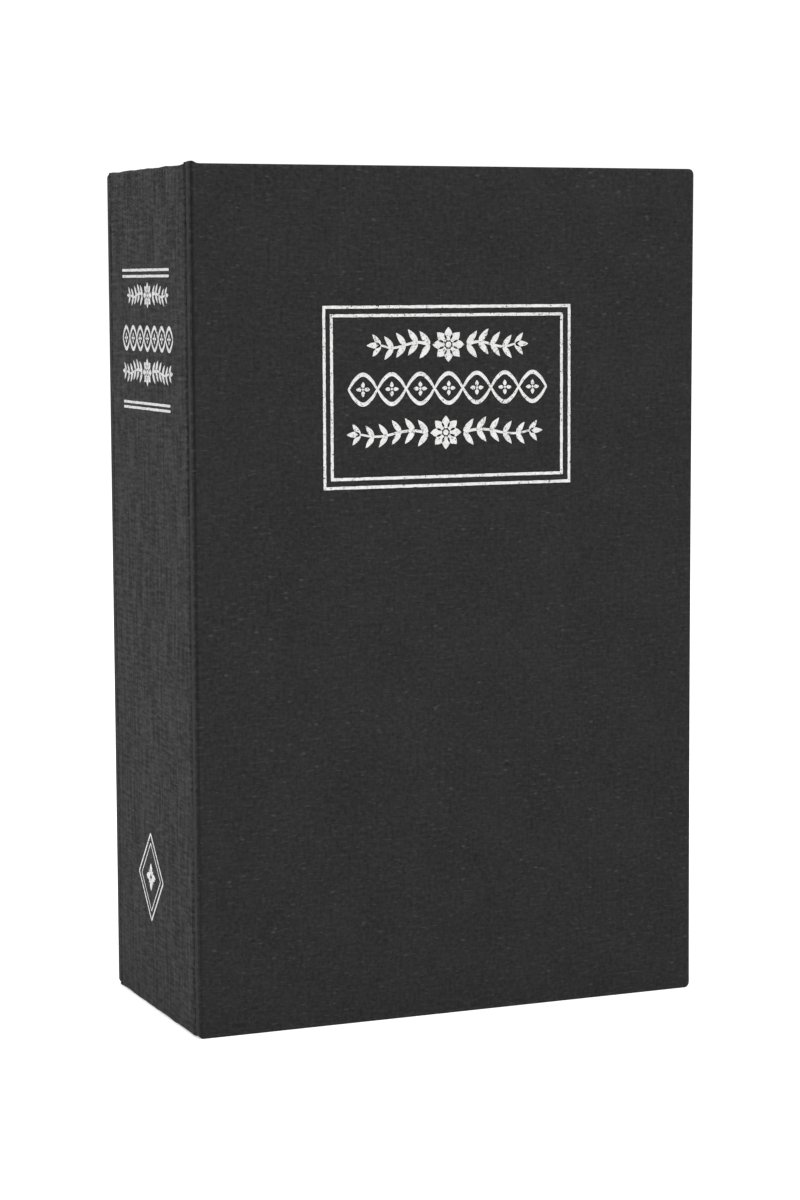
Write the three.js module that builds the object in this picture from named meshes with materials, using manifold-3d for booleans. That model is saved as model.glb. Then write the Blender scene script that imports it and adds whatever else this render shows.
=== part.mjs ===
// A book diversion safe: a steel box with a combination lock, bound as a cloth-covered book.
// Millimetres. X runs from spine to fore edge, Y from front cover to back cover, Z from tail to head.
// The origin is under the middle of the closed book, on the surface that it stands on.

import * as THREE from "three";
import { mergeVertices } from "three/addons/utils/BufferGeometryUtils.js";
import Module from "manifold-3d";

// The closed book, outside
const WIDTH = 115;
const THICKNESS = 55;
const HEIGHT = 180;

// Case binding
const BOARD = 1.5;
const CLOTH = 0.3;
const LINING = 0.2;
const TURN_IN = 15;
const SQUARE = 3;
const LINING_MARGIN = 3.5;
const COVER_CORNER = 1.2;
const COVER_SET_IN = 0.1;
const JOINT_WIDTH = 1.2;
const CREASE_DEPTH = 0.15;

// Moulded page edges
const PAGE_WALL = 5.7;
const SPINE_PAGE_WALL = 3;
const RIB_PITCH = 1;
const RIB_DEPTH = 0.25;

// Steel box
const STEEL = 0.8;
const TRAY_CORNER = 3;
const FLANGE = 7.5;
const HINGE_FLANGE = 11;
const OPENING_CORNER = 2;
const LID = 1;
const LID_LAP = 3.3;
const HINGE_LAP = 1.6;
const LID_CORNER = 2.5;
const LIP_DEPTH = 5;
const LIP_SET_BACK = 4;

// Piano hinge
const KNUCKLE_RADIUS = 1.7;
const HINGE_PIN_RADIUS = 0.8;
const LEAF = 0.6;
const TRAY_LEAF_WIDTH = 6.8;
const LID_LEAF_WIDTH = 8.6;
const HINGE_MARGIN = 7;
const KNUCKLE_PITCH = 9.35;
const RIVETS = 5;
const RIVET_RADIUS = 1;
const RIVET_HEAD_RADIUS = 1.6;
const RIVET_HEAD_HEIGHT = 0.7;
const RIVET_TAIL_HEIGHT = 0.5;
const RIVET_FROM_EDGE = 2.4;

// Combination lock
const DIALS = 3;
const DIGITS = 10;
const DIAL_RADIUS = 7.5;
const DIAL_WIDTH = 3.6;
const DIAL_PROUD = 1.85;
const NOTCH_DEPTH = 0.6;
const NOTCH_ANGLE = 3;
const HUB_RADIUS = 2.2;
const GATE_DISC_RADIUS = 3.9;
const GATE_DISC = 1.2;
const SPINDLE_RADIUS = 1.25;
const FENCE = 1;
const FENCE_WIDTH = 2;
const BOLT = 1;
const BOLT_WIDTH = 8;
const BOLT_REACH = 2.4;
const BEZEL = 1.35;
const BEZEL_BORDER = 4;
const BEZEL_MARGIN = 1.8;
const BEZEL_CORNER = 3;
const BEZEL_BEVEL = 0.5;
const CASE_WALL = 1.2;
const EAR = 5;
const SPRING = 0.4;
const SPRING_FLEX = 1.3;
const FINGER_WIDTH = 2.6;
const BASE_PLATE = 0.8;
const BOSS_RADIUS = 2;
const SCREW_RADIUS = 1;
const SCREW_HEAD_RADIUS = 2;
const SCREW_HEAD = 1.4;
const SCREW_TOP_SHARE = 0.8;
const SLOT_WIDTH = 0.5;
const SLOT_DEPTH = 0.6;
const BUTTON_LENGTH = 6;
const BUTTON_WIDTH = 10;
const BUTTON_HEIGHT = 1.5;
const BUTTON_RIBS = 4;
const BUTTON_RIB_DEPTH = 0.4;
const STEM = 2;
const STEM_WIDTH = 3;

// Clearances
const GAP = 0.3;
const COVER_CLEARANCE = 0.95;
const LID_SEAT = 0.1;
const LIP_CLEARANCE = 0.6;
const KNUCKLE_GAP = 0.4;
const PIN_CLEARANCE = 0.15;
const LOCK_CLEARANCE = 0.4;
const FENCE_CLEARANCE = 0.45;
const HUB_GAP = 0.1;

// Faces in a quarter round, and sides of a turned piece
const QUARTER_STEPS = 4;
const TURNED_SIDES = 20;
const SMALL_SIDES = 12;
const BOW_STEPS = 8;

// Layers of the binding, counted inwards from its outer face
const boardOuter = CLOTH;
const boardInner = boardOuter + BOARD;
const turnInInner = boardInner + CLOTH;
const cover = turnInInner + LINING;

// Faces of the closed book, and the room between its covers
const spineFace = -WIDTH / 2;
const foreFace = WIDTH / 2;
const frontFace = -THICKNESS / 2;
const insideFront = frontFace + cover;
const insideBack = -insideFront;
const insideSpine = spineFace + cover;

// The joint's strip runs between the cover's wrapped edge and the spine's cloth
const jointEnd = cover + GAP;
const jointStart = jointEnd - JOINT_WIDTH;

// The block of pages stands back from the covers by the square
const pages = {
  x: [insideSpine + GAP, foreFace - SQUARE],
  y: [insideFront + GAP, insideBack],
  z: [SQUARE, HEIGHT - SQUARE],
};

// Levels under the front cover, from the dials' tops down to the tray's floor
const dialTop = insideFront + COVER_CLEARANCE;
const bezelTop = dialTop + DIAL_PROUD;
const lidTop = bezelTop + BEZEL;
const lidUnder = lidTop + LID;
const flangeTop = lidUnder + LID_SEAT;
const flangeUnder = flangeTop + STEEL;
const floorTop = insideBack - STEEL;

// The tray fills the frame of pages, and the lid laps over its flange
const tray = {
  x: [pages.x[0] + SPINE_PAGE_WALL, pages.x[1] - PAGE_WALL],
  z: [pages.z[0] + PAGE_WALL, pages.z[1] - PAGE_WALL],
};
const opening = {
  x: [tray.x[0] + HINGE_FLANGE, tray.x[1] - FLANGE],
  z: [tray.z[0] + FLANGE, tray.z[1] - FLANGE],
};
const lid = {
  x: [opening.x[0] - HINGE_LAP, opening.x[1] + LID_LAP],
  z: [opening.z[0] - LID_LAP, opening.z[1] + LID_LAP],
};
const lip = {
  x: [opening.x[0] + LIP_SET_BACK, opening.x[1] - LIP_CLEARANCE],
  z: [opening.z[0] + LIP_CLEARANCE, opening.z[1] - LIP_CLEARANCE],
};

// The hinge line runs beside the lid's spine edge, its knuckles on the tray's flange
const hinge = {
  x: lid.x[0] - KNUCKLE_RADIUS - KNUCKLE_GAP,
  y: flangeTop - KNUCKLE_RADIUS - LID_SEAT,
  z: [lid.z[0] + HINGE_MARGIN, lid.z[1] - HINGE_MARGIN],
};
const knuckles = 2 * Math.round((hinge.z[1] - hinge.z[0]) / KNUCKLE_PITCH / 2) + 1;
const knucklePitch = (hinge.z[1] - hinge.z[0]) / knuckles;
const trayRivetX = hinge.x - TRAY_LEAF_WIDTH + RIVET_FROM_EDGE;
const lidRivetX = hinge.x + LID_LEAF_WIDTH - RIVET_FROM_EDGE;

// The lock's row, from the lid's fore lip back towards the spine
const lockZ = HEIGHT / 2;
const spindleY = dialTop + DIAL_RADIUS;
const neck = FENCE + 2 * FENCE_CLEARANCE;
const travel = neck + GATE_DISC;
const dialPitch = DIAL_WIDTH + neck + GATE_DISC + neck;
const lipInner = lip.x[1] - LID;
const stem = { x: [lipInner - LOCK_CLEARANCE - travel - STEM, lipInner - LOCK_CLEARANCE - travel] };
const stemSlotX = [stem.x[0] - LOCK_CLEARANCE, stem.x[1] + travel + LOCK_CLEARANCE];
const stemSlotWidth = STEM_WIDTH + 2 * LOCK_CLEARANCE;
const boltSlotWidth = BOLT_WIDTH + 2 * LOCK_CLEARANCE;
const caseForeEnd = stem.x[0] - LOCK_CLEARANCE;
const rowEnd = caseForeEnd - CASE_WALL;
const rowStart = rowEnd - DIALS * dialPitch;
const dialStarts = Array.from({ length: DIALS }, (_, i) => rowStart + i * dialPitch);
const caseRoom = { x: [rowStart - LOCK_CLEARANCE, rowEnd] };
const caseRoomHalf = DIAL_RADIUS + GAP + SPRING + SPRING_FLEX;
const caseHalf = caseRoomHalf + CASE_WALL;
const bezelWidth = 2 * (caseHalf + EAR + BEZEL_MARGIN);
const caseOut = { x: [caseRoom.x[0] - CASE_WALL, caseForeEnd] };
const boltTop = spindleY + DIAL_RADIUS + LOCK_CLEARANCE;
const boltUnder = boltTop + BOLT;
const caseUnder = boltUnder + LOCK_CLEARANCE;
const baseUnder = caseUnder + BASE_PLATE;
const tongueTop = flangeUnder + LOCK_CLEARANCE;
const tongueTip = opening.x[1] + BOLT_REACH - travel;
const bezel = { x: [caseOut.x[0] - BEZEL_BORDER, lid.x[1] - LID_SEAT - BEZEL_BEVEL] };
const earFace = lidUnder + CASE_WALL;
const earZ = caseHalf + EAR / 2;
const bossZ = caseHalf + BOSS_RADIUS / 2;
const screwBlind = bezelTop + BEZEL_BEVEL;

const cloth = finish(0x353436, 0.92, 0);
const greyboard = finish(0x8c857a, 0.95, 0);
const liningPaper = finish(0x29292b, 0.85, 0);
const pageEdge = finish(0xe9e0c9, 0.75, 0);
const blackSteel = finish(0x232425, 0.5, 0.2);
const zinc = finish(0xa9abad, 0.4, 0.9);
const chrome = finish(0xd5d7d9, 0.15, 1);
const dialPlastic = finish(0x2a2a2c, 0.4, 0);

const wasm = await Module();
wasm.setup();

function finish(color, roughness, metalness) {
  return { color, roughness, metalness };
}

// A closed rectangle with equally rounded corners
function rectangle([u0, u1], [v0, v1], radius = 0) {
  const shape = new THREE.Shape();
  if (radius <= 0) {
    shape.moveTo(u0, v0).lineTo(u1, v0).lineTo(u1, v1).lineTo(u0, v1).closePath();
    return shape;
  }
  const corners = [
    [u1 - radius, v0 + radius, -0.5],
    [u1 - radius, v1 - radius, 0],
    [u0 + radius, v1 - radius, 0.5],
    [u0 + radius, v0 + radius, 1],
  ];
  for (const [u, v, turn] of corners) {
    shape.absarc(u, v, radius, turn * Math.PI, (turn + 0.5) * Math.PI, false);
  }
  shape.closePath();
  return shape;
}

function outline(points) {
  return new THREE.Shape(points.map(([u, v]) => new THREE.Vector2(u, v)));
}

// Where a drawing's two axes and its thickness point
const PLANES = {
  XY: (u, v, w) => [u, v, w],
  YZ: (u, v, w) => [w, u, v],
  ZX: (u, v, w) => [v, w, u],
};

// A drawn shape given its thickness between two levels, exact at both
function prism(plane, shape, levels, curveSegments = QUARTER_STEPS) {
  const geometry = new THREE.ExtrudeGeometry(shape, { depth: 1, bevelEnabled: false, curveSegments });
  const position = geometry.attributes.position;
  const low = Math.min(...levels);
  const high = Math.max(...levels);
  for (let i = 0; i < position.count; i++) {
    const level = position.getZ(i) > 0.5 ? high : low;
    position.setXYZ(i, ...PLANES[plane](position.getX(i), position.getY(i), level));
  }
  return geometry;
}

// A turned piece: its profile is radius against distance along the axis
function turned(profile, axis, sides = TURNED_SIDES) {
  const points = profile.map(([radius, along]) => new THREE.Vector2(radius, along));
  const geometry = new THREE.LatheGeometry(points, sides);
  if (axis === "X") geometry.rotateZ(-Math.PI / 2);
  if (axis === "Z") geometry.rotateX(Math.PI / 2);
  return geometry;
}

function rod(radius, [from, to], axis, sides) {
  return turned([[0, from], [radius, from], [radius, to], [0, to]], axis, sides);
}

function toSolid(geometry) {
  const bare = geometry.clone();
  bare.deleteAttribute("normal");
  bare.deleteAttribute("uv");
  const merged = mergeVertices(bare, 1e-4);
  return new wasm.Manifold(
    new wasm.Mesh({
      numProp: 3,
      vertProperties: merged.attributes.position.array,
      triVerts: new Uint32Array(merged.index.array),
    }),
  );
}

function toGeometry(solid) {
  const mesh = solid.getMesh();
  const geometry = new THREE.BufferGeometry();
  geometry.setAttribute("position", new THREE.BufferAttribute(mesh.vertProperties, 3));
  geometry.setIndex(new THREE.BufferAttribute(mesh.triVerts, 1));
  geometry.computeVertexNormals();
  return geometry;
}

function combine(operation, [first, ...rest]) {
  return toGeometry(rest.reduce((solid, next) => solid[operation](toSolid(next)), toSolid(first)));
}

const join = (...geometries) => combine("add", geometries);
const cut = (...geometries) => combine("subtract", geometries);
const overlap = (...geometries) => combine("intersect", geometries);

function piece(name, geometry, { color, roughness, metalness }, position = [0, 0, 0]) {
  const material = new THREE.MeshStandardMaterial({ color, roughness, metalness });
  const mesh = new THREE.Mesh(geometry, material);
  mesh.name = name;
  mesh.position.set(...position);
  return mesh;
}

function assembly(...children) {
  return new THREE.Group().add(...children);
}

const past = ([from, to], by = 1) => [from - by, to + by];
const inset = ([from, to], by) => [from + by, to - by];
const middle = ([from, to]) => (from + to) / 2;
const about = (centre, width) => [centre - width / 2, centre + width / 2];

// One cover: a board in cloth that wraps all four edges and turns in at head, tail and fore edge
function coverPieces(name, side) {
  const level = (depth) => side * (THICKNESS / 2 - depth);
  const face = { z: [0, HEIGHT], x: [spineFace + COVER_SET_IN, foreFace] };
  const boardFace = { z: inset(face.z, CLOTH), x: inset(face.x, CLOTH) };
  const window = { z: inset(face.z, TURN_IN), x: [boardFace.x[0], foreFace - TURN_IN] };
  const liningFace = {
    z: inset(face.z, LINING_MARGIN),
    x: [boardFace.x[0] + COVER_SET_IN, foreFace - LINING_MARGIN],
  };
  const pad = { z: window.z, x: [liningFace.x[0], window.x[1]] };
  const boardShape = rectangle(boardFace.z, boardFace.x, COVER_CORNER - CLOTH);
  const boardLevels = [level(boardOuter), level(boardInner)];
  const wrapped = cut(
    prism("ZX", rectangle(face.z, face.x, COVER_CORNER), [level(0), level(turnInInner)]),
    prism("ZX", boardShape, boardLevels),
    prism("ZX", rectangle(window.z, window.x), [level(boardOuter + BOARD / 2), level(cover)]),
    prism("ZX", rectangle(past(face.z), [spineFace - 1, boardFace.x[0]]), [
      level(jointStart),
      level(cover),
    ]),
  );
  const lining = join(
    prism("ZX", rectangle(liningFace.z, liningFace.x), [level(turnInInner), level(cover)]),
    prism("ZX", rectangle(pad.z, pad.x), [level(boardInner), level(turnInInner + LINING / 2)]),
  );
  return [
    piece(`${name}_board`, prism("ZX", boardShape, boardLevels), greyboard),
    piece(`${name}_cloth`, wrapped, cloth),
    piece(`${name}_lining`, lining, liningPaper),
  ];
}

// The spine: its cloth turns in at head and tail only, and runs on into the joints at its sides
function spinePieces() {
  const level = (depth) => spineFace + depth;
  const y = [frontFace + jointEnd, -frontFace - jointEnd];
  const board = { y, z: inset([0, HEIGHT], CLOTH) };
  const window = { y: past(y), z: inset([0, HEIGHT], TURN_IN) };
  const boardLevels = [level(boardOuter), level(boardInner)];
  const wrapped = cut(
    prism("YZ", rectangle(y, [0, HEIGHT]), [level(0), level(turnInInner)]),
    prism("YZ", rectangle(past(y), board.z), boardLevels),
    prism("YZ", rectangle(window.y, window.z), [level(boardOuter + BOARD / 2), level(cover)]),
  );
  const lining = join(
    prism("YZ", rectangle(y, inset([0, HEIGHT], LINING_MARGIN)), [level(turnInInner), level(cover)]),
    prism("YZ", rectangle(y, window.z), [level(boardInner), level(turnInInner + LINING / 2)]),
  );
  return [
    piece("spine_board", prism("YZ", rectangle(board.y, board.z), boardLevels), greyboard),
    piece("spine_cloth", wrapped, cloth),
    piece("spine_lining", lining, liningPaper),
  ];
}

// The strip of cloth between spine and cover, pressed in along its crease
function jointCloth(name, side) {
  const level = (depth) => side * (THICKNESS / 2 - depth);
  const start = spineFace + COVER_SET_IN;
  const crease = level((jointStart + jointEnd) / 2);
  const points = [
    [start, level(jointStart)],
    [start + CREASE_DEPTH, crease],
    [spineFace, level(jointEnd)],
    [spineFace + CLOTH, level(jointEnd)],
    [start + CLOTH, crease],
    [start + CLOTH, level(jointStart)],
  ];
  return piece(name, prism("XY", outline(points), [0, HEIGHT]), cloth);
}

// Points down a face of shallow ribs, as the edges of leaves lie
function ribs([from, to], face, depth) {
  const count = Math.round((to - from) / RIB_PITCH);
  const points = [];
  for (let i = 0; i < count; i++) {
    points.push([from + ((to - from) * i) / count, face - depth]);
    points.push([from + ((to - from) * (i + 0.5)) / count, face]);
  }
  return [...points, [to, face - depth]];
}

// Ribbed page edges, mitred at the two fore corners, and the plain side behind the spine
function pagePieces() {
  const { x, y, z } = pages;
  const mitre = GAP / 2;
  const foreProfile = [
    ...ribs(y, x[1], RIB_DEPTH).map(([along, face]) => [face, along]),
    [x[1] - PAGE_WALL, y[1]],
    [x[1] - PAGE_WALL, y[0]],
  ];
  const forePlan = [
    [z[0] + mitre, x[1]],
    [z[0] + PAGE_WALL + mitre, x[1] - PAGE_WALL],
    [z[1] - PAGE_WALL - mitre, x[1] - PAGE_WALL],
    [z[1] - mitre, x[1]],
  ];
  const headProfile = [
    [y[0], z[1] - PAGE_WALL],
    [y[1], z[1] - PAGE_WALL],
    ...ribs(y, z[1], RIB_DEPTH).reverse(),
  ];
  const headPlan = [
    [z[1] - PAGE_WALL, x[0]],
    [z[1], x[0]],
    [z[1], x[1] - mitre],
    [z[1] - PAGE_WALL, x[1] - PAGE_WALL - mitre],
  ];
  const turnOver = ([v, w]) => [HEIGHT - v, w];
  const strip = (plane, profile, plan, reach) =>
    overlap(prism(plane, outline(profile), reach), prism("ZX", outline(plan), past(y)));
  const tailProfile = headProfile.map(([v, w]) => [v, HEIGHT - w]).reverse();
  const tailPlan = headPlan.map(turnOver).reverse();
  const spineSide = rectangle(inset(z, PAGE_WALL), [x[0], x[0] + SPINE_PAGE_WALL]);
  return [
    piece("pages_fore_edge", strip("XY", foreProfile, forePlan, z), pageEdge),
    piece("pages_head", strip("YZ", headProfile, headPlan, x), pageEdge),
    piece("pages_tail", strip("YZ", tailProfile, tailPlan, x), pageEdge),
    piece("pages_spine_side", prism("ZX", spineSide, y), pageEdge),
  ];
}

// A row of places along the hinge, one for each rivet
function rivetPlaces() {
  const pitch = (hinge.z[1] - hinge.z[0]) / RIVETS;
  return Array.from({ length: RIVETS }, (_, i) => hinge.z[0] + (i + 0.5) * pitch);
}

function rivetHoles(x, levels) {
  const radius = RIVET_RADIUS + PIN_CLEARANCE;
  return rivetPlaces().map((z) => rod(radius, past(levels), "Y", SMALL_SIDES).translate(x, 0, z));
}

// Domed rivets: a head on the leaf, a shank through leaf and sheet, and an upset tail behind
function rivetPieces(name, x, headFace, tailFace) {
  const dome = RIVET_HEAD_RADIUS * Math.SQRT1_2;
  const profile = [
    [0, headFace - RIVET_HEAD_HEIGHT],
    [dome, headFace - RIVET_HEAD_HEIGHT * Math.SQRT1_2],
    [RIVET_HEAD_RADIUS, headFace],
    [RIVET_RADIUS, headFace],
    [RIVET_RADIUS, tailFace],
    [dome + RIVET_RADIUS / 4, tailFace],
    [dome, tailFace + RIVET_TAIL_HEIGHT],
    [0, tailFace + RIVET_TAIL_HEIGHT],
  ];
  return rivetPlaces().map((z, i) =>
    piece(`${name}_${i + 1}`, turned(profile, "Y", SMALL_SIDES), zinc, [x, 0, z]),
  );
}

// One leaf of the piano hinge: a strip with every other knuckle rolled from its edge
function hingeLeaf(first, [far, near], levels) {
  const ordered = (a, b) => [Math.min(a, b), Math.max(a, b)];
  const parts = [prism("ZX", rectangle(hinge.z, ordered(far, near)), levels)];
  for (let i = first; i < knuckles; i += 2) {
    const start = hinge.z[0] + i * knucklePitch;
    const z = inset([start, start + knucklePitch], KNUCKLE_GAP / 2);
    parts.push(prism("ZX", rectangle(z, ordered(far, hinge.x)), levels));
    parts.push(rod(KNUCKLE_RADIUS, z, "Z").translate(hinge.x, hinge.y, 0));
  }
  const pinHole = rod(HINGE_PIN_RADIUS + PIN_CLEARANCE, past(hinge.z), "Z");
  return cut(join(...parts), pinHole.translate(hinge.x, hinge.y, 0));
}

// The deep-drawn tray: a floor, four walls and a flange turned inwards round its opening
function trayPieces() {
  const flange = [flangeTop, flangeUnder];
  const inside = { z: inset(tray.z, STEEL), x: inset(tray.x, STEEL) };
  const shell = cut(
    prism("ZX", rectangle(tray.z, tray.x, TRAY_CORNER), [flangeTop, insideBack]),
    prism("ZX", rectangle(inside.z, inside.x, TRAY_CORNER - STEEL), [flangeUnder, floorTop]),
    prism("ZX", rectangle(opening.z, opening.x, OPENING_CORNER), past(flange)),
    ...rivetHoles(trayRivetX, flange),
  );
  const leafTop = flangeTop - LEAF;
  const near = hinge.x - KNUCKLE_RADIUS - KNUCKLE_GAP;
  const leaf = cut(
    hingeLeaf(0, [hinge.x - TRAY_LEAF_WIDTH, near], [leafTop, flangeTop]),
    ...rivetHoles(trayRivetX, [leafTop, flangeTop]),
  );
  const pin = rod(HINGE_PIN_RADIUS, hinge.z, "Z").translate(hinge.x, hinge.y, 0);
  return [
    piece("steel_tray", shell, blackSteel),
    piece("tray_hinge_leaf", leaf, zinc),
    ...rivetPieces("tray_rivet", trayRivetX, leafTop, flangeUnder),
    piece("hinge_pin", pin, zinc),
  ];
}

// Places of the screws that hold the lock to the lid, and of those that close its case
const lockScrewPlaces = [-1, 1].flatMap((end) =>
  [-1, 1].map((side) => [
    middle(caseOut.x) + (end * (caseOut.x[1] - caseOut.x[0])) / 2 - end * EAR,
    lockZ + side * earZ,
  ]),
);
const baseScrewPlaces = [-1, 1].map((side) => [middle(caseOut.x), lockZ + side * bossZ]);

function rods(places, radius, levels, sides = SMALL_SIDES) {
  return places.map(([x, z]) => rod(radius, levels, "Y", sides).translate(x, 0, z));
}

// The lid: a plate with a lip folded down on three sides, and openings for dials, button and bolt
function lidPieces() {
  const lipLevels = [lidUnder - LID / 2, lidUnder + LIP_DEPTH];
  const lips = cut(
    prism("ZX", rectangle(lip.z, lip.x, OPENING_CORNER), lipLevels),
    prism(
      "ZX",
      rectangle(inset(lip.z, LID), [lip.x[0] - LID, lipInner], OPENING_CORNER - LID),
      past(lipLevels),
    ),
  );
  const through = past([lidTop, lidUnder]);
  const boltSlot = rectangle(about(lockZ, boltSlotWidth), [lipInner - 1, lip.x[1] + 1]);
  const slot = rectangle(about(lockZ, stemSlotWidth), stemSlotX);
  const plate = cut(
    join(prism("ZX", rectangle(lid.z, lid.x, LID_CORNER), [lidTop, lidUnder]), lips),
    prism("ZX", rectangle(about(lockZ, 2 * caseRoomHalf - 2 * SPRING_FLEX), caseRoom.x), through),
    prism("ZX", slot, through),
    prism("ZX", boltSlot, [tongueTop - LOCK_CLEARANCE, tongueTop + BOLT + LOCK_CLEARANCE]),
    ...rods(lockScrewPlaces, SCREW_HEAD_RADIUS + PIN_CLEARANCE, through),
    ...rivetHoles(lidRivetX, [lidTop, lidUnder]),
  );
  const leafTop = lidTop - LEAF;
  const leaf = cut(
    hingeLeaf(1, [hinge.x + LID_LEAF_WIDTH, lid.x[0]], [leafTop, lidTop]),
    ...rivetHoles(lidRivetX, [leafTop, lidTop]),
  );
  return [
    piece("lid_plate", plate, blackSteel),
    piece("lid_hinge_leaf", leaf, zinc),
    ...rivetPieces("lid_rivet", lidRivetX, leafTop, lidUnder),
  ];
}

// Half the length of a window that a wheel comes up through, at a level above its spindle
function windowHalf(level) {
  return Math.sqrt(DIAL_RADIUS ** 2 - (spindleY - level) ** 2) + LOCK_CLEARANCE;
}

// The escutcheon on the lid, with a window for each dial, a slot for the button and four posts below
function lockBezel() {
  const plan = rectangle(about(lockZ, bezelWidth), bezel.x, BEZEL_CORNER);
  const body = prism("ZX", plan, [bezelTop + BEZEL_BEVEL, lidTop]);
  const edge = bevelled(about(lockZ, bezelWidth), bezel.x, BEZEL_CORNER, bezelTop, BEZEL_BEVEL);
  const through = past([bezelTop, lidTop]);
  const half = windowHalf(bezelTop);
  const windows = dialStarts.map((x) =>
    prism("ZX", rectangle(about(lockZ, 2 * half), past([x, x + DIAL_WIDTH], LOCK_CLEARANCE)), through),
  );
  const hollows = dialStarts.map((x) => {
    const wheel = rod(DIAL_RADIUS + LOCK_CLEARANCE, past([x, x + DIAL_WIDTH], LOCK_CLEARANCE), "X");
    return wheel.translate(0, spindleY, lockZ);
  });
  const slot = rectangle(about(lockZ, stemSlotWidth), stemSlotX);
  return cut(
    join(body, edge, ...rods(lockScrewPlaces, SCREW_HEAD_RADIUS, [bezelTop + BEZEL_BEVEL, lidUnder])),
    ...windows,
    ...hollows,
    prism("ZX", slot, through),
    ...rods(lockScrewPlaces, SCREW_RADIUS + PIN_CLEARANCE, [screwBlind, lidUnder + 1]),
  );
}

// The top of a plate, its edge bevelled all round
function bevelled(z, x, corner, top, bevel) {
  const shape = rectangle(inset(z, bevel), inset(x, bevel), corner - bevel);
  const settings = { depth: 0, bevelEnabled: true, bevelThickness: bevel, bevelSize: bevel };
  const geometry = new THREE.ExtrudeGeometry(shape, {
    ...settings,
    bevelSegments: 1,
    curveSegments: QUARTER_STEPS,
  });
  const position = geometry.attributes.position;
  for (let i = 0; i < position.count; i++) {
    const along = position.getZ(i);
    position.setXYZ(i, ...PLANES.ZX(position.getX(i), position.getY(i), top + bevel + along));
  }
  return geometry;
}

// The case: walls round the row of dials, an ear on each side, and a boss for each base screw
function lockCase() {
  const outer = { z: about(lockZ, 2 * caseHalf), x: caseOut.x };
  const room = { z: about(lockZ, 2 * caseRoomHalf), x: caseRoom.x };
  const all = past([lidUnder, caseUnder]);
  const ears = about(lockZ, 2 * (caseHalf + EAR));
  const boltSlot = rectangle([boltTop - LOCK_CLEARANCE, caseUnder + 1], about(lockZ, boltSlotWidth));
  const spindleHole = rod(SPINDLE_RADIUS + PIN_CLEARANCE, past(caseOut.x), "X");
  return cut(
    join(
      prism("ZX", rectangle(outer.z, outer.x), [lidUnder, caseUnder]),
      prism("ZX", rectangle(ears, outer.x, EAR / 2), [lidUnder, earFace]),
      ...rods(baseScrewPlaces, BOSS_RADIUS, [earFace - CASE_WALL / 2, caseUnder]),
    ),
    prism("ZX", rectangle(room.z, room.x), all),
    spindleHole.translate(0, spindleY, lockZ),
    prism("YZ", boltSlot, [rowEnd - 1, caseOut.x[1] + 1]),
    ...rods(lockScrewPlaces, SCREW_RADIUS + PIN_CLEARANCE, all),
    ...rods(baseScrewPlaces, SCREW_RADIUS + PIN_CLEARANCE, [earFace + CASE_WALL, caseUnder + 1]),
  );
}

function basePlate() {
  const plan = rectangle(about(lockZ, 2 * caseHalf), caseOut.x, CASE_WALL / 2);
  const levels = [caseUnder, baseUnder];
  return cut(
    join(prism("ZX", plan, levels), ...rods(baseScrewPlaces, BOSS_RADIUS, levels)),
    ...rods(baseScrewPlaces, SCREW_RADIUS + PIN_CLEARANCE, past(levels)),
  );
}

// Pan-headed screws driven from below, each with a slot across its head
function screwPieces(name, places, tip, face) {
  const bottom = face + SCREW_HEAD;
  const profile = [
    [0, tip],
    [SCREW_RADIUS, tip],
    [SCREW_RADIUS, face],
    [SCREW_HEAD_RADIUS, face],
    [SCREW_HEAD_RADIUS, bottom - SCREW_HEAD / 2],
    [SCREW_HEAD_RADIUS * SCREW_TOP_SHARE, bottom],
    [0, bottom],
  ];
  const slot = rectangle(about(0, SLOT_WIDTH), past([-SCREW_HEAD_RADIUS, SCREW_HEAD_RADIUS]));
  const slotted = () =>
    cut(turned(profile, "Y", SMALL_SIDES), prism("ZX", slot, [bottom - SLOT_DEPTH, bottom + 1]));
  return places.map(([x, z], i) => piece(`${name}_${i + 1}`, slotted(), zinc, [x, 0, z]));
}

// One dial, from its wheel's spine-side face: a wheel of flats, a hub, and a gate disc notched below
function dial() {
  const step = (2 * Math.PI) / DIGITS;
  const edge = step / 2 - THREE.MathUtils.degToRad(NOTCH_ANGLE);
  const at = (radius, angle) => [-radius * Math.cos(angle), radius * Math.sin(angle)];
  const wheel = Array.from({ length: DIGITS }, (_, i) => [
    at(DIAL_RADIUS, i * step - edge),
    at(DIAL_RADIUS, i * step + edge),
    at(DIAL_RADIUS - NOTCH_DEPTH, (i + 0.5) * step),
  ]).flat();
  const discStart = DIAL_WIDTH + neck;
  const disc = [discStart, discStart + GATE_DISC];
  const gate = rectangle(
    [HUB_RADIUS, GATE_DISC_RADIUS + 1],
    about(0, FENCE_WIDTH + 2 * LOCK_CLEARANCE),
  );
  return cut(
    join(
      prism("YZ", outline(wheel), [0, DIAL_WIDTH]),
      rod(HUB_RADIUS, [DIAL_WIDTH / 2, dialPitch - HUB_GAP], "X"),
      cut(rod(GATE_DISC_RADIUS, disc, "X"), prism("YZ", gate, past(disc))),
    ),
    rod(SPINDLE_RADIUS + PIN_CLEARANCE, past([0, dialPitch]), "X"),
  );
}

// A strip of even thickness along a line of points
function ribbon(points, thickness) {
  const line = points.map(([u, v]) => new THREE.Vector2(u, v));
  const sides = line.map((point, i) => {
    const ahead = line[Math.min(i + 1, line.length - 1)];
    const behind = line[Math.max(i - 1, 0)];
    const along = ahead.clone().sub(behind).normalize();
    const across = new THREE.Vector2(-along.y, along.x).multiplyScalar(thickness / 2);
    return [point.clone().add(across), point.clone().sub(across)];
  });
  return new THREE.Shape([...sides.map(([a]) => a), ...sides.map(([, b]) => b).reverse()]);
}

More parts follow.
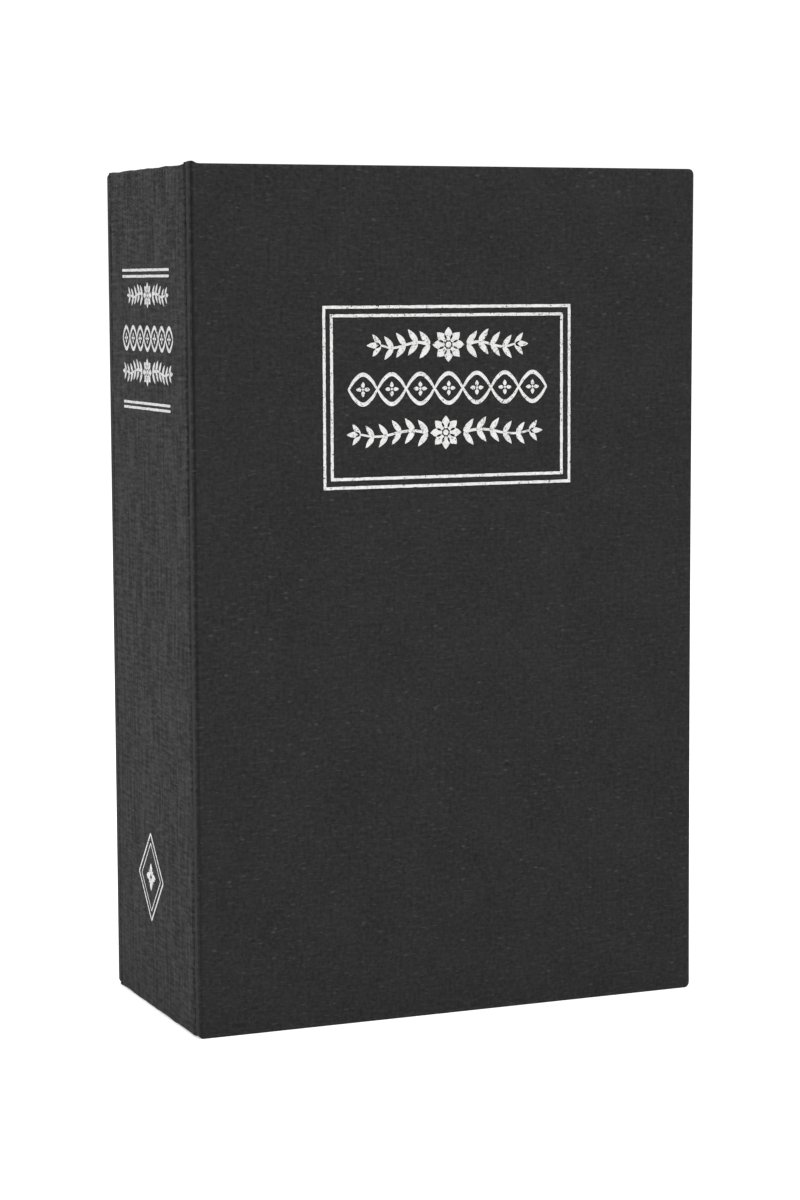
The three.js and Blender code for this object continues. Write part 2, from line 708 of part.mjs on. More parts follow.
// The detent spring: a strip on the case's wall with a bowed finger for each wheel
function detentSpring() {
  const wall = lockZ + caseRoomHalf - SPRING / 2;
  const tip = lockZ + DIAL_RADIUS + GAP + SPRING / 2;
  const foot = caseUnder - LOCK_CLEARANCE;
  const reach = spindleY - lidUnder - LOCK_CLEARANCE;
  const bow = Array.from({ length: BOW_STEPS + 1 }, (_, i) => {
    const share = 1 - (2 * i) / BOW_STEPS;
    return [spindleY + share * reach, wall - ((wall - tip) * (1 + Math.cos(share * Math.PI))) / 2];
  });
  const finger = [[foot, wall], ...bow];
  const strip = rectangle([spindleY + reach, foot], about(wall, SPRING));
  return join(
    prism("YZ", strip, inset(caseRoom.x, LOCK_CLEARANCE)),
    ...dialStarts.map((x) =>
      prism("YZ", ribbon(finger, SPRING), about(x + DIAL_WIDTH / 2, FINGER_WIDTH)),
    ),
  );
}

// The bolt: a plate under the dials, bent up to a tongue under the flange, with a fence for each dial
function boltPlate() {
  const start = rowStart + LOCK_CLEARANCE;
  const profile = [
    [start, boltTop],
    [stem.x[0], boltTop],
    [stem.x[0], tongueTop],
    [tongueTip, tongueTop],
    [tongueTip, tongueTop + BOLT],
    [stem.x[0] + BOLT, tongueTop + BOLT],
    [stem.x[0] + BOLT, boltUnder],
    [start, boltUnder],
  ];
  const fenceTop = spindleY + HUB_RADIUS + LOCK_CLEARANCE;
  const fence = rectangle([fenceTop, boltTop + BOLT / 2], about(lockZ, FENCE_WIDTH));
  return join(
    prism("XY", outline(profile), about(lockZ, BOLT_WIDTH)),
    ...dialStarts.map((x) => {
      const from = x + DIAL_WIDTH + FENCE_CLEARANCE;
      return prism("YZ", fence, [from, from + FENCE]);
    }),
  );
}

// The thumb button: a ribbed cap on the escutcheon, and a stem down to the bolt's tongue
function thumbButton() {
  const cap = about(middle(stem.x), BUTTON_LENGTH);
  const under = bezelTop - GAP;
  const top = under - BUTTON_HEIGHT;
  const rib = BUTTON_LENGTH / BUTTON_RIBS;
  const crest = Array.from({ length: BUTTON_RIBS }, (_, i) => {
    const from = cap[0] + i * rib;
    return [
      [from, top + BUTTON_RIB_DEPTH],
      [from + rib / 4, top],
      [from + (3 * rib) / 4, top],
    ];
  }).flat();
  const profile = [[cap[0], under], [cap[1], under], [cap[1], top + BUTTON_RIB_DEPTH], ...crest.reverse()];
  return join(
    prism("XY", outline(profile), about(lockZ, BUTTON_WIDTH)),
    prism("ZX", rectangle(about(lockZ, STEM_WIDTH), stem.x), [under - BUTTON_HEIGHT / 2, tongueTop]),
  );
}

function lockPieces() {
  const spindle = rod(SPINDLE_RADIUS, caseOut.x, "X").translate(0, spindleY, lockZ);
  return [
    piece("lock_bezel", lockBezel(), chrome),
    piece("lock_case", lockCase(), zinc),
    piece("lock_base_plate", basePlate(), zinc),
    ...screwPieces("lock_screw", lockScrewPlaces, screwBlind + LOCK_CLEARANCE, earFace),
    ...screwPieces("base_screw", baseScrewPlaces, caseUnder - 2 * CASE_WALL, baseUnder),
    piece("dial_spindle", spindle, zinc),
    piece("detent_spring", detentSpring(), zinc),
  ];
}

const dials = dialStarts.map((x, i) => piece(`dial_${i + 1}`, dial(), dialPlastic, [x, spindleY, lockZ]));
const bolt = [piece("bolt_plate", boltPlate(), zinc), piece("thumb_button", thumbButton(), chrome)];

const bookBlock = assembly(
  ...coverPieces("back", 1),
  jointCloth("back_joint_cloth", 1),
  ...pagePieces(),
  ...trayPieces(),
);
const spine = assembly(...spinePieces());
const frontCover = assembly(...coverPieces("front", -1), jointCloth("front_joint_cloth", -1));
const lidAssembly = assembly(...lidPieces(), ...lockPieces(), ...dials, ...bolt);

export default assembly(bookBlock, spine, frontCover, lidAssembly);
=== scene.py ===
"""A book diversion safe: a steel box with a combination lock, bound as a cloth-covered book.

Sizes are in millimetres. Each finished mesh is scaled to metres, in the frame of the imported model:
X from spine to fore edge, Y from front cover to back cover, Z from tail to head.
"""

import logging
import math
import random
from collections.abc import Callable, Iterable, Sequence
from dataclasses import dataclass, field
from enum import Enum

import bmesh
import bpy
from bmesh.types import BMEdge, BMFace, BMVert
from mathutils import Matrix, Vector


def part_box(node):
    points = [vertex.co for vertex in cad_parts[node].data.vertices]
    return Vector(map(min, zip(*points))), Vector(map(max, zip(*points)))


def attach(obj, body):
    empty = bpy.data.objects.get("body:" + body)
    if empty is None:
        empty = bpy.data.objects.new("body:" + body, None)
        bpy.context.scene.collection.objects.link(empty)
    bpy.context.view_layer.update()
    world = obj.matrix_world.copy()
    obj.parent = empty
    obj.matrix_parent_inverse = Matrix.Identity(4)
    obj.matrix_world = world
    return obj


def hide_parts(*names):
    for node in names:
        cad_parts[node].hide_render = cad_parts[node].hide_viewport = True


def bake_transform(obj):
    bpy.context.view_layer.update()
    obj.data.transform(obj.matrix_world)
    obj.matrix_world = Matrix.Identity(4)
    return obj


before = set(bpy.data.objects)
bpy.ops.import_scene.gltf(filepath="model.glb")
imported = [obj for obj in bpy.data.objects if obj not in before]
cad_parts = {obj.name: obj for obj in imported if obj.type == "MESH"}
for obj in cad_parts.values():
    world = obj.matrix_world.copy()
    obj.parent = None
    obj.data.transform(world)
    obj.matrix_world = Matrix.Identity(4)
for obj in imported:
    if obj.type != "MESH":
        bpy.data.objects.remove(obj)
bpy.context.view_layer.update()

logging.basicConfig(level=logging.INFO, format="%(message)s")
log = logging.getLogger("book_safe")

MM = 0.001
EPS = 1e-3
SMOOTH_ANGLE = math.radians(32)
BEVEL_ANGLE = math.radians(30)
HEIGHT = 180
COVER_WIDTH = 114.9
SPINE_WIDTH = 49.8
WHITE = (1, 1, 1, 1)

Colour = tuple[float, float, float]
Point = Sequence[float]
Span = tuple[float, float]
Spans = tuple[Span, ...]
Area = tuple[Span, Span]
Depth = Callable[[Vector], float]
WeaveMap = Callable[[Vector, Vector], Span]
Material = bpy.types.Material
Piece = bpy.types.Object


class Body(Enum):
    """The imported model's bodies."""

    BLOCK = "block"
    SPINE = "spine"
    FRONT_COVER = "front_cover"
    LID = "lid"
    DIAL_1 = "dial_1"
    DIAL_2 = "dial_2"
    DIAL_3 = "dial_3"
    BOLT = "bolt"


class Slot(Enum):
    """The record's material slots."""

    BOOK_CLOTH = "book_cloth"
    PAGE_EDGE = "page_edge"
    BLACK_STEEL = "black_steel"
    HINGE_STEEL = "hinge_steel"
    LOCK_ZINC = "lock_zinc"
    LOCK_STEEL = "lock_steel"
    LOCK_CHROME = "lock_chrome"
    DIAL_PLASTIC = "dial_plastic"


# Shader expressions


class Value:
    """A shader socket that Python's operators work on."""

    def __init__(self, paint: "Paint", socket: bpy.types.NodeSocket) -> None:
        """Wrap an output socket of a paint's tree."""
        self.paint = paint
        self.socket = socket

    def __add__(self, other: "Value | float") -> "Value":
        """Add."""
        return self.paint.maths("ADD", self, other)

    __radd__ = __add__

    def __sub__(self, other: "Value | float") -> "Value":
        """Subtract."""
        return self.paint.maths("SUBTRACT", self, other)

    def __rsub__(self, other: float) -> "Value":
        """Subtract from a number."""
        return self.paint.maths("SUBTRACT", other, self)

    def __mul__(self, other: "Value | float") -> "Value":
        """Multiply."""
        return self.paint.maths("MULTIPLY", self, other)

    __rmul__ = __mul__

    def __abs__(self) -> "Value":
        """Drop the sign."""
        return self.paint.maths("ABSOLUTE", self)

    def sine(self) -> "Value":
        """Take the sine."""
        return self.paint.maths("SINE", self)

    def least(self, other: "Value | float") -> "Value":
        """Take the smaller."""
        return self.paint.maths("MINIMUM", self, other)

    def most(self, other: "Value | float") -> "Value":
        """Take the larger."""
        return self.paint.maths("MAXIMUM", self, other)

    def between(self, low: float, high: float) -> "Value":
        """Rise smoothly from 0 at low to 1 at high, or fall where high is the smaller."""
        inputs = {"Value": self, "From Min": low, "From Max": high}
        return self.paint.node("ShaderNodeMapRange", {"interpolation_type": "SMOOTHSTEP"}, inputs)


def opaque(colour: Value | Colour) -> Value | tuple[float, ...]:
    """Give a plain colour its alpha, and leave a link as it is."""
    return colour if isinstance(colour, Value) else (*colour, 1)


class Paint:
    """One material and the nodes that it is made of."""

    def __init__(self, name: str) -> None:
        """Start an empty material.

        Args:
            name: what the material is called.
        """
        self.material = bpy.data.materials.new(name)
        self.material.use_nodes = True
        self.tree = self.material.node_tree
        self.tree.nodes.clear()

    def node(
        self,
        kind: str,
        settings: dict[str, object] | None = None,
        inputs: dict[str | int, object] | None = None,
        output: str | int = 0,
    ) -> Value:
        """Add a node.

        Args:
            kind: its type.
            settings: its properties, which are set first.
            inputs: a value or a link for each socket, by name or number.
            output: the socket that is wanted.

        Returns:
            The wanted output.
        """
        made = self.tree.nodes.new(kind)
        for name, setting in (settings or {}).items():
            setattr(made, name, setting)
        for name, given in (inputs or {}).items():
            if isinstance(given, Value):
                self.tree.links.new(given.socket, made.inputs[name])
            else:
                made.inputs[name].default_value = given
        return Value(self, made.outputs[output])

    def maths(self, operation: str, *values: Value | float) -> Value:
        """Apply a Math operation to values."""
        return self.node("ShaderNodeMath", {"operation": operation}, dict(enumerate(values)))

    def weave_place(self, scale: Point = (1, 1, 1)) -> Value:
        """Give the piece's own weave map, in millimetres times scale."""
        place = self.node("ShaderNodeUVMap", {"uv_map": Form.WEAVE})
        return self.node("ShaderNodeMapping", {}, {"Vector": place, "Scale": scale})

    def place(self, scale: Point = (1, 1, 1)) -> Value:
        """Give the place on the object, in millimetres times scale.

        Args:
            scale: what each axis is multiplied by.

        Returns:
            The place.
        """
        here = self.node("ShaderNodeTexCoord", output="Object")
        spread = [s / MM for s in scale]
        return self.node("ShaderNodeMapping", {}, {"Vector": here, "Scale": spread})

    def split(self, vector: Value) -> list[Value]:
        """Split a vector into its three numbers."""
        parts = self.node("ShaderNodeSeparateXYZ", {}, {0: vector})
        return [Value(self, output) for output in parts.socket.node.outputs]

    def noise(self, at: Value, scale: float = 1, detail: float = 2, rough: float = 0.5) -> Value:
        """Give soft noise about 0.5, of scale lumps to the unit, with finer layers as strong as rough."""
        inputs = {"Vector": at, "Scale": scale, "Detail": detail, "Roughness": rough}
        return self.node("ShaderNodeTexNoise", {}, inputs)

    def flecks(self, at: Value, scale: float, share: float, size: float) -> Value:
        """Give scattered small spots.

        Args:
            at: the place.
            scale: how many cells there are to the unit.
            share: the share of cells that hold a spot.
            size: a spot's radius, as a share of its cell.

        Returns:
            1 in a spot and 0 elsewhere.
        """
        inputs = {"Vector": at, "Scale": scale}
        near = self.node("ShaderNodeTexVoronoi", {}, inputs, "Distance")
        cell = self.node("ShaderNodeTexVoronoi", {}, inputs, "Color")
        lot = self.split(cell)[0]
        return near.between(size, size * 0.4) * lot.between(share, share * 0.9)

    def tint(self, colour: Colour, strength: Value) -> Value:
        """Multiply a colour by a number."""
        inputs = {0: colour, "Scale": strength}
        return self.node("ShaderNodeVectorMath", {"operation": "SCALE"}, inputs)

    def blend(self, share: Value, first: Value | Colour, second: Value | Colour) -> Value:
        """Mix two colours, by the share of the second."""
        inputs = {"Factor": share, 6: opaque(first), 7: opaque(second)}
        return self.node("ShaderNodeMix", {"data_type": "RGBA"}, inputs, 2)

    def relief(self, height: Value, depth: float) -> Value:
        """Turn a height, as a share of a depth in millimetres, into a normal."""
        return self.node("ShaderNodeBump", {}, {"Height": height, "Distance": depth * MM, "Strength": 1})

    def surface(self, colour: Value | Colour, rough: Value | float, **more: object) -> Material:
        """Close the material with its shader.

        Args:
            colour: the base colour.
            rough: the roughness.
            more: the shader's other sockets, with _ for a space.

        Returns:
            The finished material.
        """
        extra = {name.replace("_", " "): given for name, given in more.items()}
        inputs = {"Base Color": opaque(colour), "Roughness": rough, **extra}
        shader = self.node("ShaderNodeBsdfPrincipled", {}, inputs)
        end = self.tree.nodes.new("ShaderNodeOutputMaterial")
        self.tree.links.new(shader.socket, end.inputs["Surface"])
        return self.material


# Finishes


@dataclass(frozen=True)
class BookCloth:
    """Charcoal book cloth: a fine plain weave with slubs, faint mottling and a few pale flecks.

    The weave map runs over the face and on round its edges, so that a thread keeps its way.
    """

    width: float
    height: float
    warp: Span = (1.5, 0.22)
    weft: Span = (0.26, 1.6)
    grain: Span = (1.2, 1.2)
    streaks: float = 0.4
    contrast: float = 1.5
    # Painted shade: the fields below darken the cloth's colour in its creases and on its joint side.
    creases: tuple[float, ...] = (0.68,)
    crease_shades: Span = (0.28, 0.38)
    painted_side_shade: float = 0.14
    side_band: Span = (0.1, -0.3)
    crease_band: Span = (0.5, 0.15)
    crease_rise: Span = (20, 150)
    edge_band: Span = (0.9, 0.0)
    colour: Colour = (0.0131, 0.0130, 0.0132)
    fleck: Colour = (0.075, 0.075, 0.075)
    worn: Colour = (0.040, 0.040, 0.041)
    pitch: float = 0.31

    def material(self, name: str) -> Material:
        """Make the material.

        Args:
            name: what it is called.

        Returns:
            The material.
        """
        paint = Paint(name)
        sway = paint.noise(paint.weave_place(), 0.09, 3)
        u, v, _ = paint.split(paint.weave_place())
        turn = math.pi / self.pitch
        drift = 0.9 * sway
        across = ((u + drift) * turn).sine()
        along = ((v + drift) * turn).sine()
        crossing = across * along
        threads = (abs(across) + crossing).most(abs(along) - crossing) * 0.5
        warp = paint.noise(paint.weave_place((*self.warp, 1)), 1, 2, 0.6)
        weft = paint.noise(paint.weave_place((*self.weft, 1)), 1, 2, 0.6)
        grain = paint.noise(paint.weave_place((*self.grain, 1)), 1, 3, 0.65)
        patches = paint.noise(paint.weave_place(), 0.07, 4, 0.6)
        slubs = warp.most(weft)
        uneven = (warp + weft - 1) * self.streaks + 1.5 * grain + 0.4 * patches + 0.2 * threads - 1.05
        # The tone takes the painted shade of the creases and of the joint side.
        tone = (uneven * self.contrast + 1).most(0.15) * self.painted_crease_shade(u, v)
        dyed = paint.tint(self.colour, tone)
        flecks = paint.flecks(paint.weave_place((0.5, 1, 1)), 0.6, 0.22, 0.2)
        hairs = paint.noise(paint.weave_place((0.5, 2.0, 1)), 1, 2, 0.6).between(0.57, 0.76)
        flecked = paint.blend((flecks * 0.3).most(hairs * 0.26), dyed, self.fleck)
        edge = self.edge(u, v) * paint.noise(paint.weave_place(), 0.8, 3).between(0.42, 0.7)
        colour = paint.blend(edge * 0.4, flecked, self.worn)
        height = threads * 0.5 + 0.5 * grain + 0.8 * slubs
        return paint.surface(
            colour, 0.80 + 0.16 * grain, Normal=paint.relief(height, 0.1), Specular_IOR_Level=0.16
        )

    def painted_crease_shade(self, u: Value, v: Value) -> Value:
        """Paint shade into the cloth's colour down in its creases, which are sharpest at the head, and on its
        joint side.

        Args:
            u: the place across the cloth.
            v: the place up it.

        Returns:
            What the cloth's tone is multiplied by.
        """
        foot, head = self.crease_shades
        side = u.between(*self.side_band) * self.painted_side_shade
        nearest = abs(u - self.creases[0])
        for crease in self.creases[1:]:
            nearest = nearest.least(abs(u - crease))
        shade = foot + (head - foot) * v.between(*self.crease_rise)
        return 1 - nearest.between(*self.crease_band) * shade - side

    def edge(self, u: Value, v: Value) -> Value:
        """Give how near a place is to the rounded edges round the face."""
        sides = abs(u).least(abs(u - self.width)).least(abs(v)).least(abs(v - self.height))
        return sides.between(*self.edge_band)


@dataclass(frozen=True)
class Foil:
    """Silver foil pressed into the cloth, broken where the weave shows through."""

    colour: Colour = (0.62, 0.62, 0.615)

    def material(self, name: str) -> Material:
        """Make the material.

        Args:
            name: what it is called.

        Returns:
            The material.
        """
        paint = Paint(name)
        fine = paint.noise(paint.place(), 3.0, 2, 0.6)
        broad = paint.noise(paint.place(), 0.5, 2)
        whole = (fine + 0.3 * broad).between(0.44, 0.56)
        tone = 0.7 + 0.5 * paint.noise(paint.place(), 1.4, 2)
        relief = paint.relief(fine, 0.03)
        silver = paint.tint(self.colour, tone)
        return paint.surface(silver, 0.28 + 0.3 * fine, Metallic=0.75, Alpha=whole, Normal=relief)


@dataclass(frozen=True)
class LiningPaper:
    """Black laid endpaper, whose fibres show, over the raised edges of the turned-in cloth."""

    colour: Colour = (0.017, 0.017, 0.0183)
    fibre: Colour = (0.06, 0.06, 0.062)
    fore_turn_in: float = 42.5
    head_turn_in: float = 75
    middle: float = HEIGHT / 2
    ridge_band: Span = (-0.5, 0.5)

    def material(self, name: str) -> Material:
        """Make the material.

        Args:
            name: what it is called.

        Returns:
            The material.
        """
        paint = Paint(name)
        felt = paint.noise(paint.place(), 1.6, 4, 0.65)
        fibres = paint.noise(paint.place((0.4, 0.4, 2.5)), 1, 3, 0.6).between(0.56, 0.74)
        x, _, z = paint.split(paint.place())
        laid = (z * (math.tau / 1.2)).sine() * 0.5 + 0.5
        cloudy = paint.noise(paint.place(), 0.05, 3)
        past = (x - self.fore_turn_in).most(abs(z - self.middle) - self.head_turn_in)
        ridge = past.between(*self.ridge_band)
        # Painted highlight: a paler line along the slope of the ridge over the turned-in cloth's edge.
        paler = ridge * (1 - ridge) * 4 * cloudy
        # Here worn holds the paper's fibres and the painted highlight along the ridge.
        worn = (fibres * 0.4).most(paler * 0.5)
        colour = paint.blend(worn, paint.tint(self.colour, 0.4 + 0.7 * cloudy + 0.5 * felt), self.fibre)
        height = felt * 0.2 + 0.08 * laid + 0.1 * fibres + ridge
        return paint.surface(
            colour, 0.68 + 0.26 * felt, Normal=paint.relief(height, 0.16), Specular_IOR_Level=0.35
        )


@dataclass(frozen=True)
class Greyboard:
    """Grey millboard pressed from waste paper, with dark and light fibres."""

    colour: Colour = (0.26, 0.235, 0.19)
    dark: Colour = (0.10, 0.09, 0.075)

    def material(self, name: str) -> Material:
        """Make the material.

        Args:
            name: what it is called.

        Returns:
            The material.
        """
        paint = Paint(name)
        pulp = paint.noise(paint.place(), 1.2, 5, 0.7)
        layers = paint.noise(paint.place((0.2, 6, 0.2)), 1, 2)
        specks = paint.flecks(paint.place((1, 1, 0.6)), 1.1, 0.5, 0.22)
        grey = paint.tint(self.colour, 0.55 + 0.6 * pulp + 0.3 * layers)
        colour = paint.blend(specks * 0.7, grey, self.dark)
        return paint.surface(colour, 0.9 + 0.08 * pulp, Normal=paint.relief(pulp + 0.5 * layers, 0.06))


@dataclass(frozen=True)
class PageEdge:
    """Moulded page edges in cream, streaked like the edges of gathered leaves, with shade painted into the
    gaps between them.
    """

    colour: Colour = (0.52, 0.475, 0.37)
    shade: Colour = (0.29, 0.24, 0.165)

    def material(self, name: str) -> Material:
        """Make the material.

        Args:
            name: what it is called.

        Returns:
            The material.
        """
        paint = Paint(name)
        leaves = paint.noise(paint.place((0.005, 7, 0.005)), 1, 3, 0.7)
        # Painted shade: thin dark lines in the gaps between the leaves.
        gap_shade = paint.noise(paint.place((0.003, 4.4, 0.003)), 1, 2, 0.6).between(0.6, 0.72)
        stains = paint.noise(paint.place(), 0.05, 4, 0.6)
        dark = leaves.between(0.66, 0.34) * 0.26 + 0.3 * gap_shade + 0.2 * stains
        colour = paint.blend(dark.least(0.9), self.colour, self.shade)
        return paint.surface(
            colour, 0.62 + 0.2 * leaves, Normal=paint.relief(leaves, 0.08), Specular_IOR_Level=0.4
        )


@dataclass(frozen=True)
class PowderCoat:
    """Black powder coat on steel: a fine orange peel, dust, and thinner paint in places."""

    colour: Colour = (0.016, 0.0165, 0.0175)
    dust: Colour = (0.07, 0.07, 0.072)

    def material(self, name: str) -> Material:
        """Make the material.

        Args:
            name: what it is called.

        Returns:
            The material.
        """
        paint = Paint(name)
        peel = paint.noise(paint.place(), 0.9, 3, 0.6)
        cloud = paint.noise(paint.place(), 0.05, 5, 0.65)
        dust = paint.flecks(paint.place(), 0.5, 0.3, 0.07)
        film = cloud.between(0.45, 0.75)
        settled = dust * 0.6 + 0.12 * film
        colour = paint.blend(settled, paint.tint(self.colour, 0.6 + 0.5 * cloud + 0.3 * peel), self.dust)
        return paint.surface(colour, 0.24 + 0.3 * cloud + 0.14 * peel, Normal=paint.relief(peel, 0.2))


@dataclass(frozen=True)
class Metal:
    """Bare or plated metal: its colour, gloss, and the way that its fine marks run."""

    colour: Colour
    rough: float
    grain: Point
    depth: float
    cloudiness: float = 0.15

    def material(self, name: str) -> Material:
        """Make the material.

        Args:
            name: what it is called.

        Returns:
            The material.
        """
        paint = Paint(name)
        marks = paint.noise(paint.place(self.grain), 1, 4, 0.65)
        cloud = paint.noise(paint.place(), 0.12, 4, 0.6)
        tone = 1 - self.cloudiness + self.cloudiness * (marks + cloud)
        rough = self.rough * 0.75 + self.rough * 0.5 * cloud + 0.08 * marks
        colour = paint.tint(self.colour, tone)
        return paint.surface(colour, rough, Metallic=1.0, Normal=paint.relief(marks, self.depth))


@dataclass(frozen=True)
class DialPlastic:
    """Black moulded plastic with a fine spark-eroded texture and rubbed high places."""

    colour: Colour = (0.02, 0.02, 0.0215)

    def material(self, name: str) -> Material:
        """Make the material.

        Args:
            name: what it is called.

        Returns:
            The material.
        """
        paint = Paint(name)
        spark = paint.noise(paint.place(), 6, 3, 0.7)
        paler = paint.noise(paint.place(), 0.7, 3)
        colour = paint.tint(self.colour, 0.7 + 0.6 * paler)
        return paint.surface(colour, 0.3 + 0.25 * spark, Normal=paint.relief(spark, 0.02))


@dataclass(frozen=True)
class DigitPaint:
    """White paint in the dials' digits, a little worn."""

    colour: Colour = (0.78, 0.78, 0.75)

    def material(self, name: str) -> Material:
        """Make the material.

        Args:
            name: what it is called.

        Returns:
            The material.
        """
        paint = Paint(name)
        wear = paint.noise(paint.place(), 4, 3, 0.6)
        return paint.surface(paint.tint(self.colour, 0.7 + 0.5 * wear), 0.5 + 0.2 * wear)


HINGE_STEEL = Metal((0.33, 0.335, 0.345), 0.34, (3.5, 3.5, 0.12), 0.02, 0.3)
LOCK_ZINC = Metal((0.40, 0.41, 0.42), 0.42, (2.2, 2.2, 2.2), 0.05)
LOCK_STEEL = Metal((0.52, 0.53, 0.54), 0.25, (0.15, 5, 5), 0.015)
SATIN_NICKEL = Metal((0.35, 0.35, 0.345), 0.3, (0.12, 4.5, 4.5), 0.02, 0.4)


# Mesh building


def only(kind: type, made: Iterable[object]) -> list:
    """Keep what is of one kind, out of what an operator made."""
    return [part for part in made if isinstance(part, kind)]


def rod_profile(radius: float, start: float, end: float, edge: float, bore: float = 0) -> list[Span]:
    """Give the profile of a rod or a tube.

    Args:
        radius: its radius.
        start: where it starts along the axis.
        end: where it ends.
        edge: how far its two edges are cut back.
        bore: the hole's radius.

    Returns:
        Pairs of radius and distance along the axis.
    """
    mouth = radius - edge
    rim = [(mouth, start), (radius, start + edge), (radius, end - edge), (mouth, end)]
    return [(bore, start), *rim, (bore, end)]


def smooth(data: bpy.types.Mesh) -> None:
    """Shade a mesh smooth between its sharp edges."""
    data.shade_smooth()
    data.set_sharp_from_angle(angle=SMOOTH_ANGLE)


class Form:
    """A mesh under construction, in millimetres."""

    WEAVE = "weave"

    def __init__(self) -> None:
        """Start with nothing."""
        self.mesh = bmesh.new()

    def block(self, low: Point, high: Point) -> list[BMVert]:
        """Add a box.

        Args:
            low: its lowest corner.
            high: its highest corner.

        Returns:
            Its vertices.
        """
        centre = [(a + b) / 2 for a, b in zip(low, high)]
        size = [b - a for a, b in zip(low, high)]
        matrix = Matrix.Translation(centre) @ Matrix.Diagonal((*size, 1))
        return bmesh.ops.create_cube(self.mesh, size=1, matrix=matrix)["verts"]

    def plate(self, low: Point, high: Point, corner: float, segments: int) -> None:
        """Add a box whose four corners along Y are rounded.

        Args:
            low: its lowest corner.
            high: its highest corner.
            corner: the corners' radius.
            segments: the faces in each.
        """
        verts = set(self.block(low, high))
        edges = [
            e for e in self.mesh.edges
            if set(e.verts) <= verts and abs(e.verts[0].co.y - e.verts[1].co.y) > EPS
        ]
        self.round(edges, corner, segments)

    def edges(self, where: Callable[[Vector], bool]) -> list[BMEdge]:
        """Find the edges whose two ends are both where the test says."""
        return [e for e in self.mesh.edges if all(where(v.co) for v in e.verts)]

    def faces(self, where: Callable[[Vector], bool]) -> list[BMFace]:
        """Find the faces whose middle is where the test says."""
        return [f for f in self.mesh.faces if where(f.calc_center_median())]

    def round(self, edges: list[BMEdge], radius: float, segments: int) -> None:
        """Round edges.

        Args:
            edges: the edges.
            radius: how far the rounding reaches.
            segments: the faces in it.
        """
        bmesh.ops.bevel(
            self.mesh, geom=edges, offset=radius, offset_type="OFFSET", segments=segments,
            profile=0.5, affect="EDGES", clamp_overlap=True, material=-1,
        )

    def slice(self, axis: int, *places: float) -> None:
        """Cut every face along planes across an axis.

        Args:
            axis: 0, 1 or 2 for X, Y or Z.
            places: where the planes cross it.
        """
        normal = Vector((0, 0, 0))
        normal[axis] = 1
        for place in places:
            self.bisect(normal * place, normal)

    def bisect(self, at: Point, normal: Point, clear: bool = False) -> list[BMEdge]:
        """Cut every face along one plane.

        Args:
            at: a point of the plane.
            normal: the way that it looks.
            clear: whether what lies beyond it is deleted.

        Returns:
            The edges on the plane.
        """
        everything = [*self.mesh.verts, *self.mesh.edges, *self.mesh.faces]
        made = bmesh.ops.bisect_plane(
            self.mesh, geom=everything, dist=EPS / 10, plane_co=at, plane_no=normal, clear_outer=clear
        )
        return only(BMEdge, made["geom_cut"])

    def drop(self, faces: list[BMFace]) -> None:
        """Delete faces, and the edges and vertices that only they used."""
        bmesh.ops.delete(self.mesh, geom=faces, context="FACES")

    def turn(
        self, profile: Iterable[Span], centre: Point, axis: Point, steps: int = 24, ring: bool = False
    ) -> None:
        """Turn a profile into a closed round shape.

        Args:
            profile: pairs of radius and distance along the axis.
            centre: a point of the axis, where the distance is 0.
            axis: the axis, along X, Y or Z.
            steps: the faces round it.
            ring: whether the profile closes on itself, clear of the axis.
        """
        along = Vector(axis)
        out = Vector((along.y, along.z, along.x))
        points = [Vector(centre) + along * far + out * radius for radius, far in profile]
        verts = [self.mesh.verts.new(p) for p in points]
        pairs = zip(verts, [*verts[1:], verts[0]] if ring else verts[1:])
        edges = [self.mesh.edges.new(pair) for pair in pairs]
        before = set(self.mesh.verts) - set(verts)
        bmesh.ops.spin(
            self.mesh, geom=verts + edges, cent=centre, axis=axis, angle=math.tau, steps=steps, use_merge=True
        )
        fresh = [v for v in self.mesh.verts if v not in before]
        bmesh.ops.remove_doubles(self.mesh, verts=fresh, dist=EPS)
        made = {f for v in fresh if v.is_valid for f in v.link_faces}
        bmesh.ops.recalc_face_normals(self.mesh, faces=list(made))

    def add(self, data: bpy.types.Mesh) -> None:
        """Add a mesh, and delete its data."""
        self.mesh.from_mesh(data)
        bpy.data.meshes.remove(data)

    def take(self, node: str) -> None:
        """Add a merged copy of a CAD node's mesh.

        Args:
            node: the CAD node.
        """
        self.mesh.from_mesh(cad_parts[node].data)
        bmesh.ops.scale(self.mesh, vec=(1 / MM,) * 3, verts=self.mesh.verts)
        bmesh.ops.remove_doubles(self.mesh, verts=self.mesh.verts, dist=EPS)
        bmesh.ops.dissolve_limit(
            self.mesh, angle_limit=math.radians(1), verts=self.mesh.verts, edges=self.mesh.edges
        )

    def unwrap(self, place: WeaveMap) -> None:
        """Lay the weave map over the mesh.

        Args:
            place: gives a corner's place on the flat cloth from its position and its face's normal.
        """
        layer = self.mesh.loops.layers.uv.new(self.WEAVE)
        self.mesh.normal_update()
        for face in self.mesh.faces:
            for loop in face.loops:
                loop[layer].uv = place(loop.vert.co, face.normal)

    def finish(self, name: str, material: Material) -> Piece:
        """Close the form as an object in metres, without edges too short to see.

        Args:
            name: the piece's name.
            material: its finish.

        Returns:
            The object, at the origin, with its place in its mesh.
        """
        bmesh.ops.dissolve_degenerate(self.mesh, dist=EPS, edges=self.mesh.edges)
        bmesh.ops.scale(self.mesh, vec=(MM,) * 3, verts=self.mesh.verts)
        data = bpy.data.meshes.new(name)
        self.mesh.to_mesh(data)
        self.mesh.free()
        data.materials.append(material)
        smooth(data)
        piece = bpy.data.objects.new(name, data)
        bpy.context.scene.collection.objects.link(piece)
        return piece


def baked(piece: Piece) -> bpy.types.Mesh:
    """Give a new mesh of an object with its modifiers applied."""
    graph = bpy.context.evaluated_depsgraph_get()
    return bpy.data.meshes.new_from_object(piece.evaluated_get(graph))


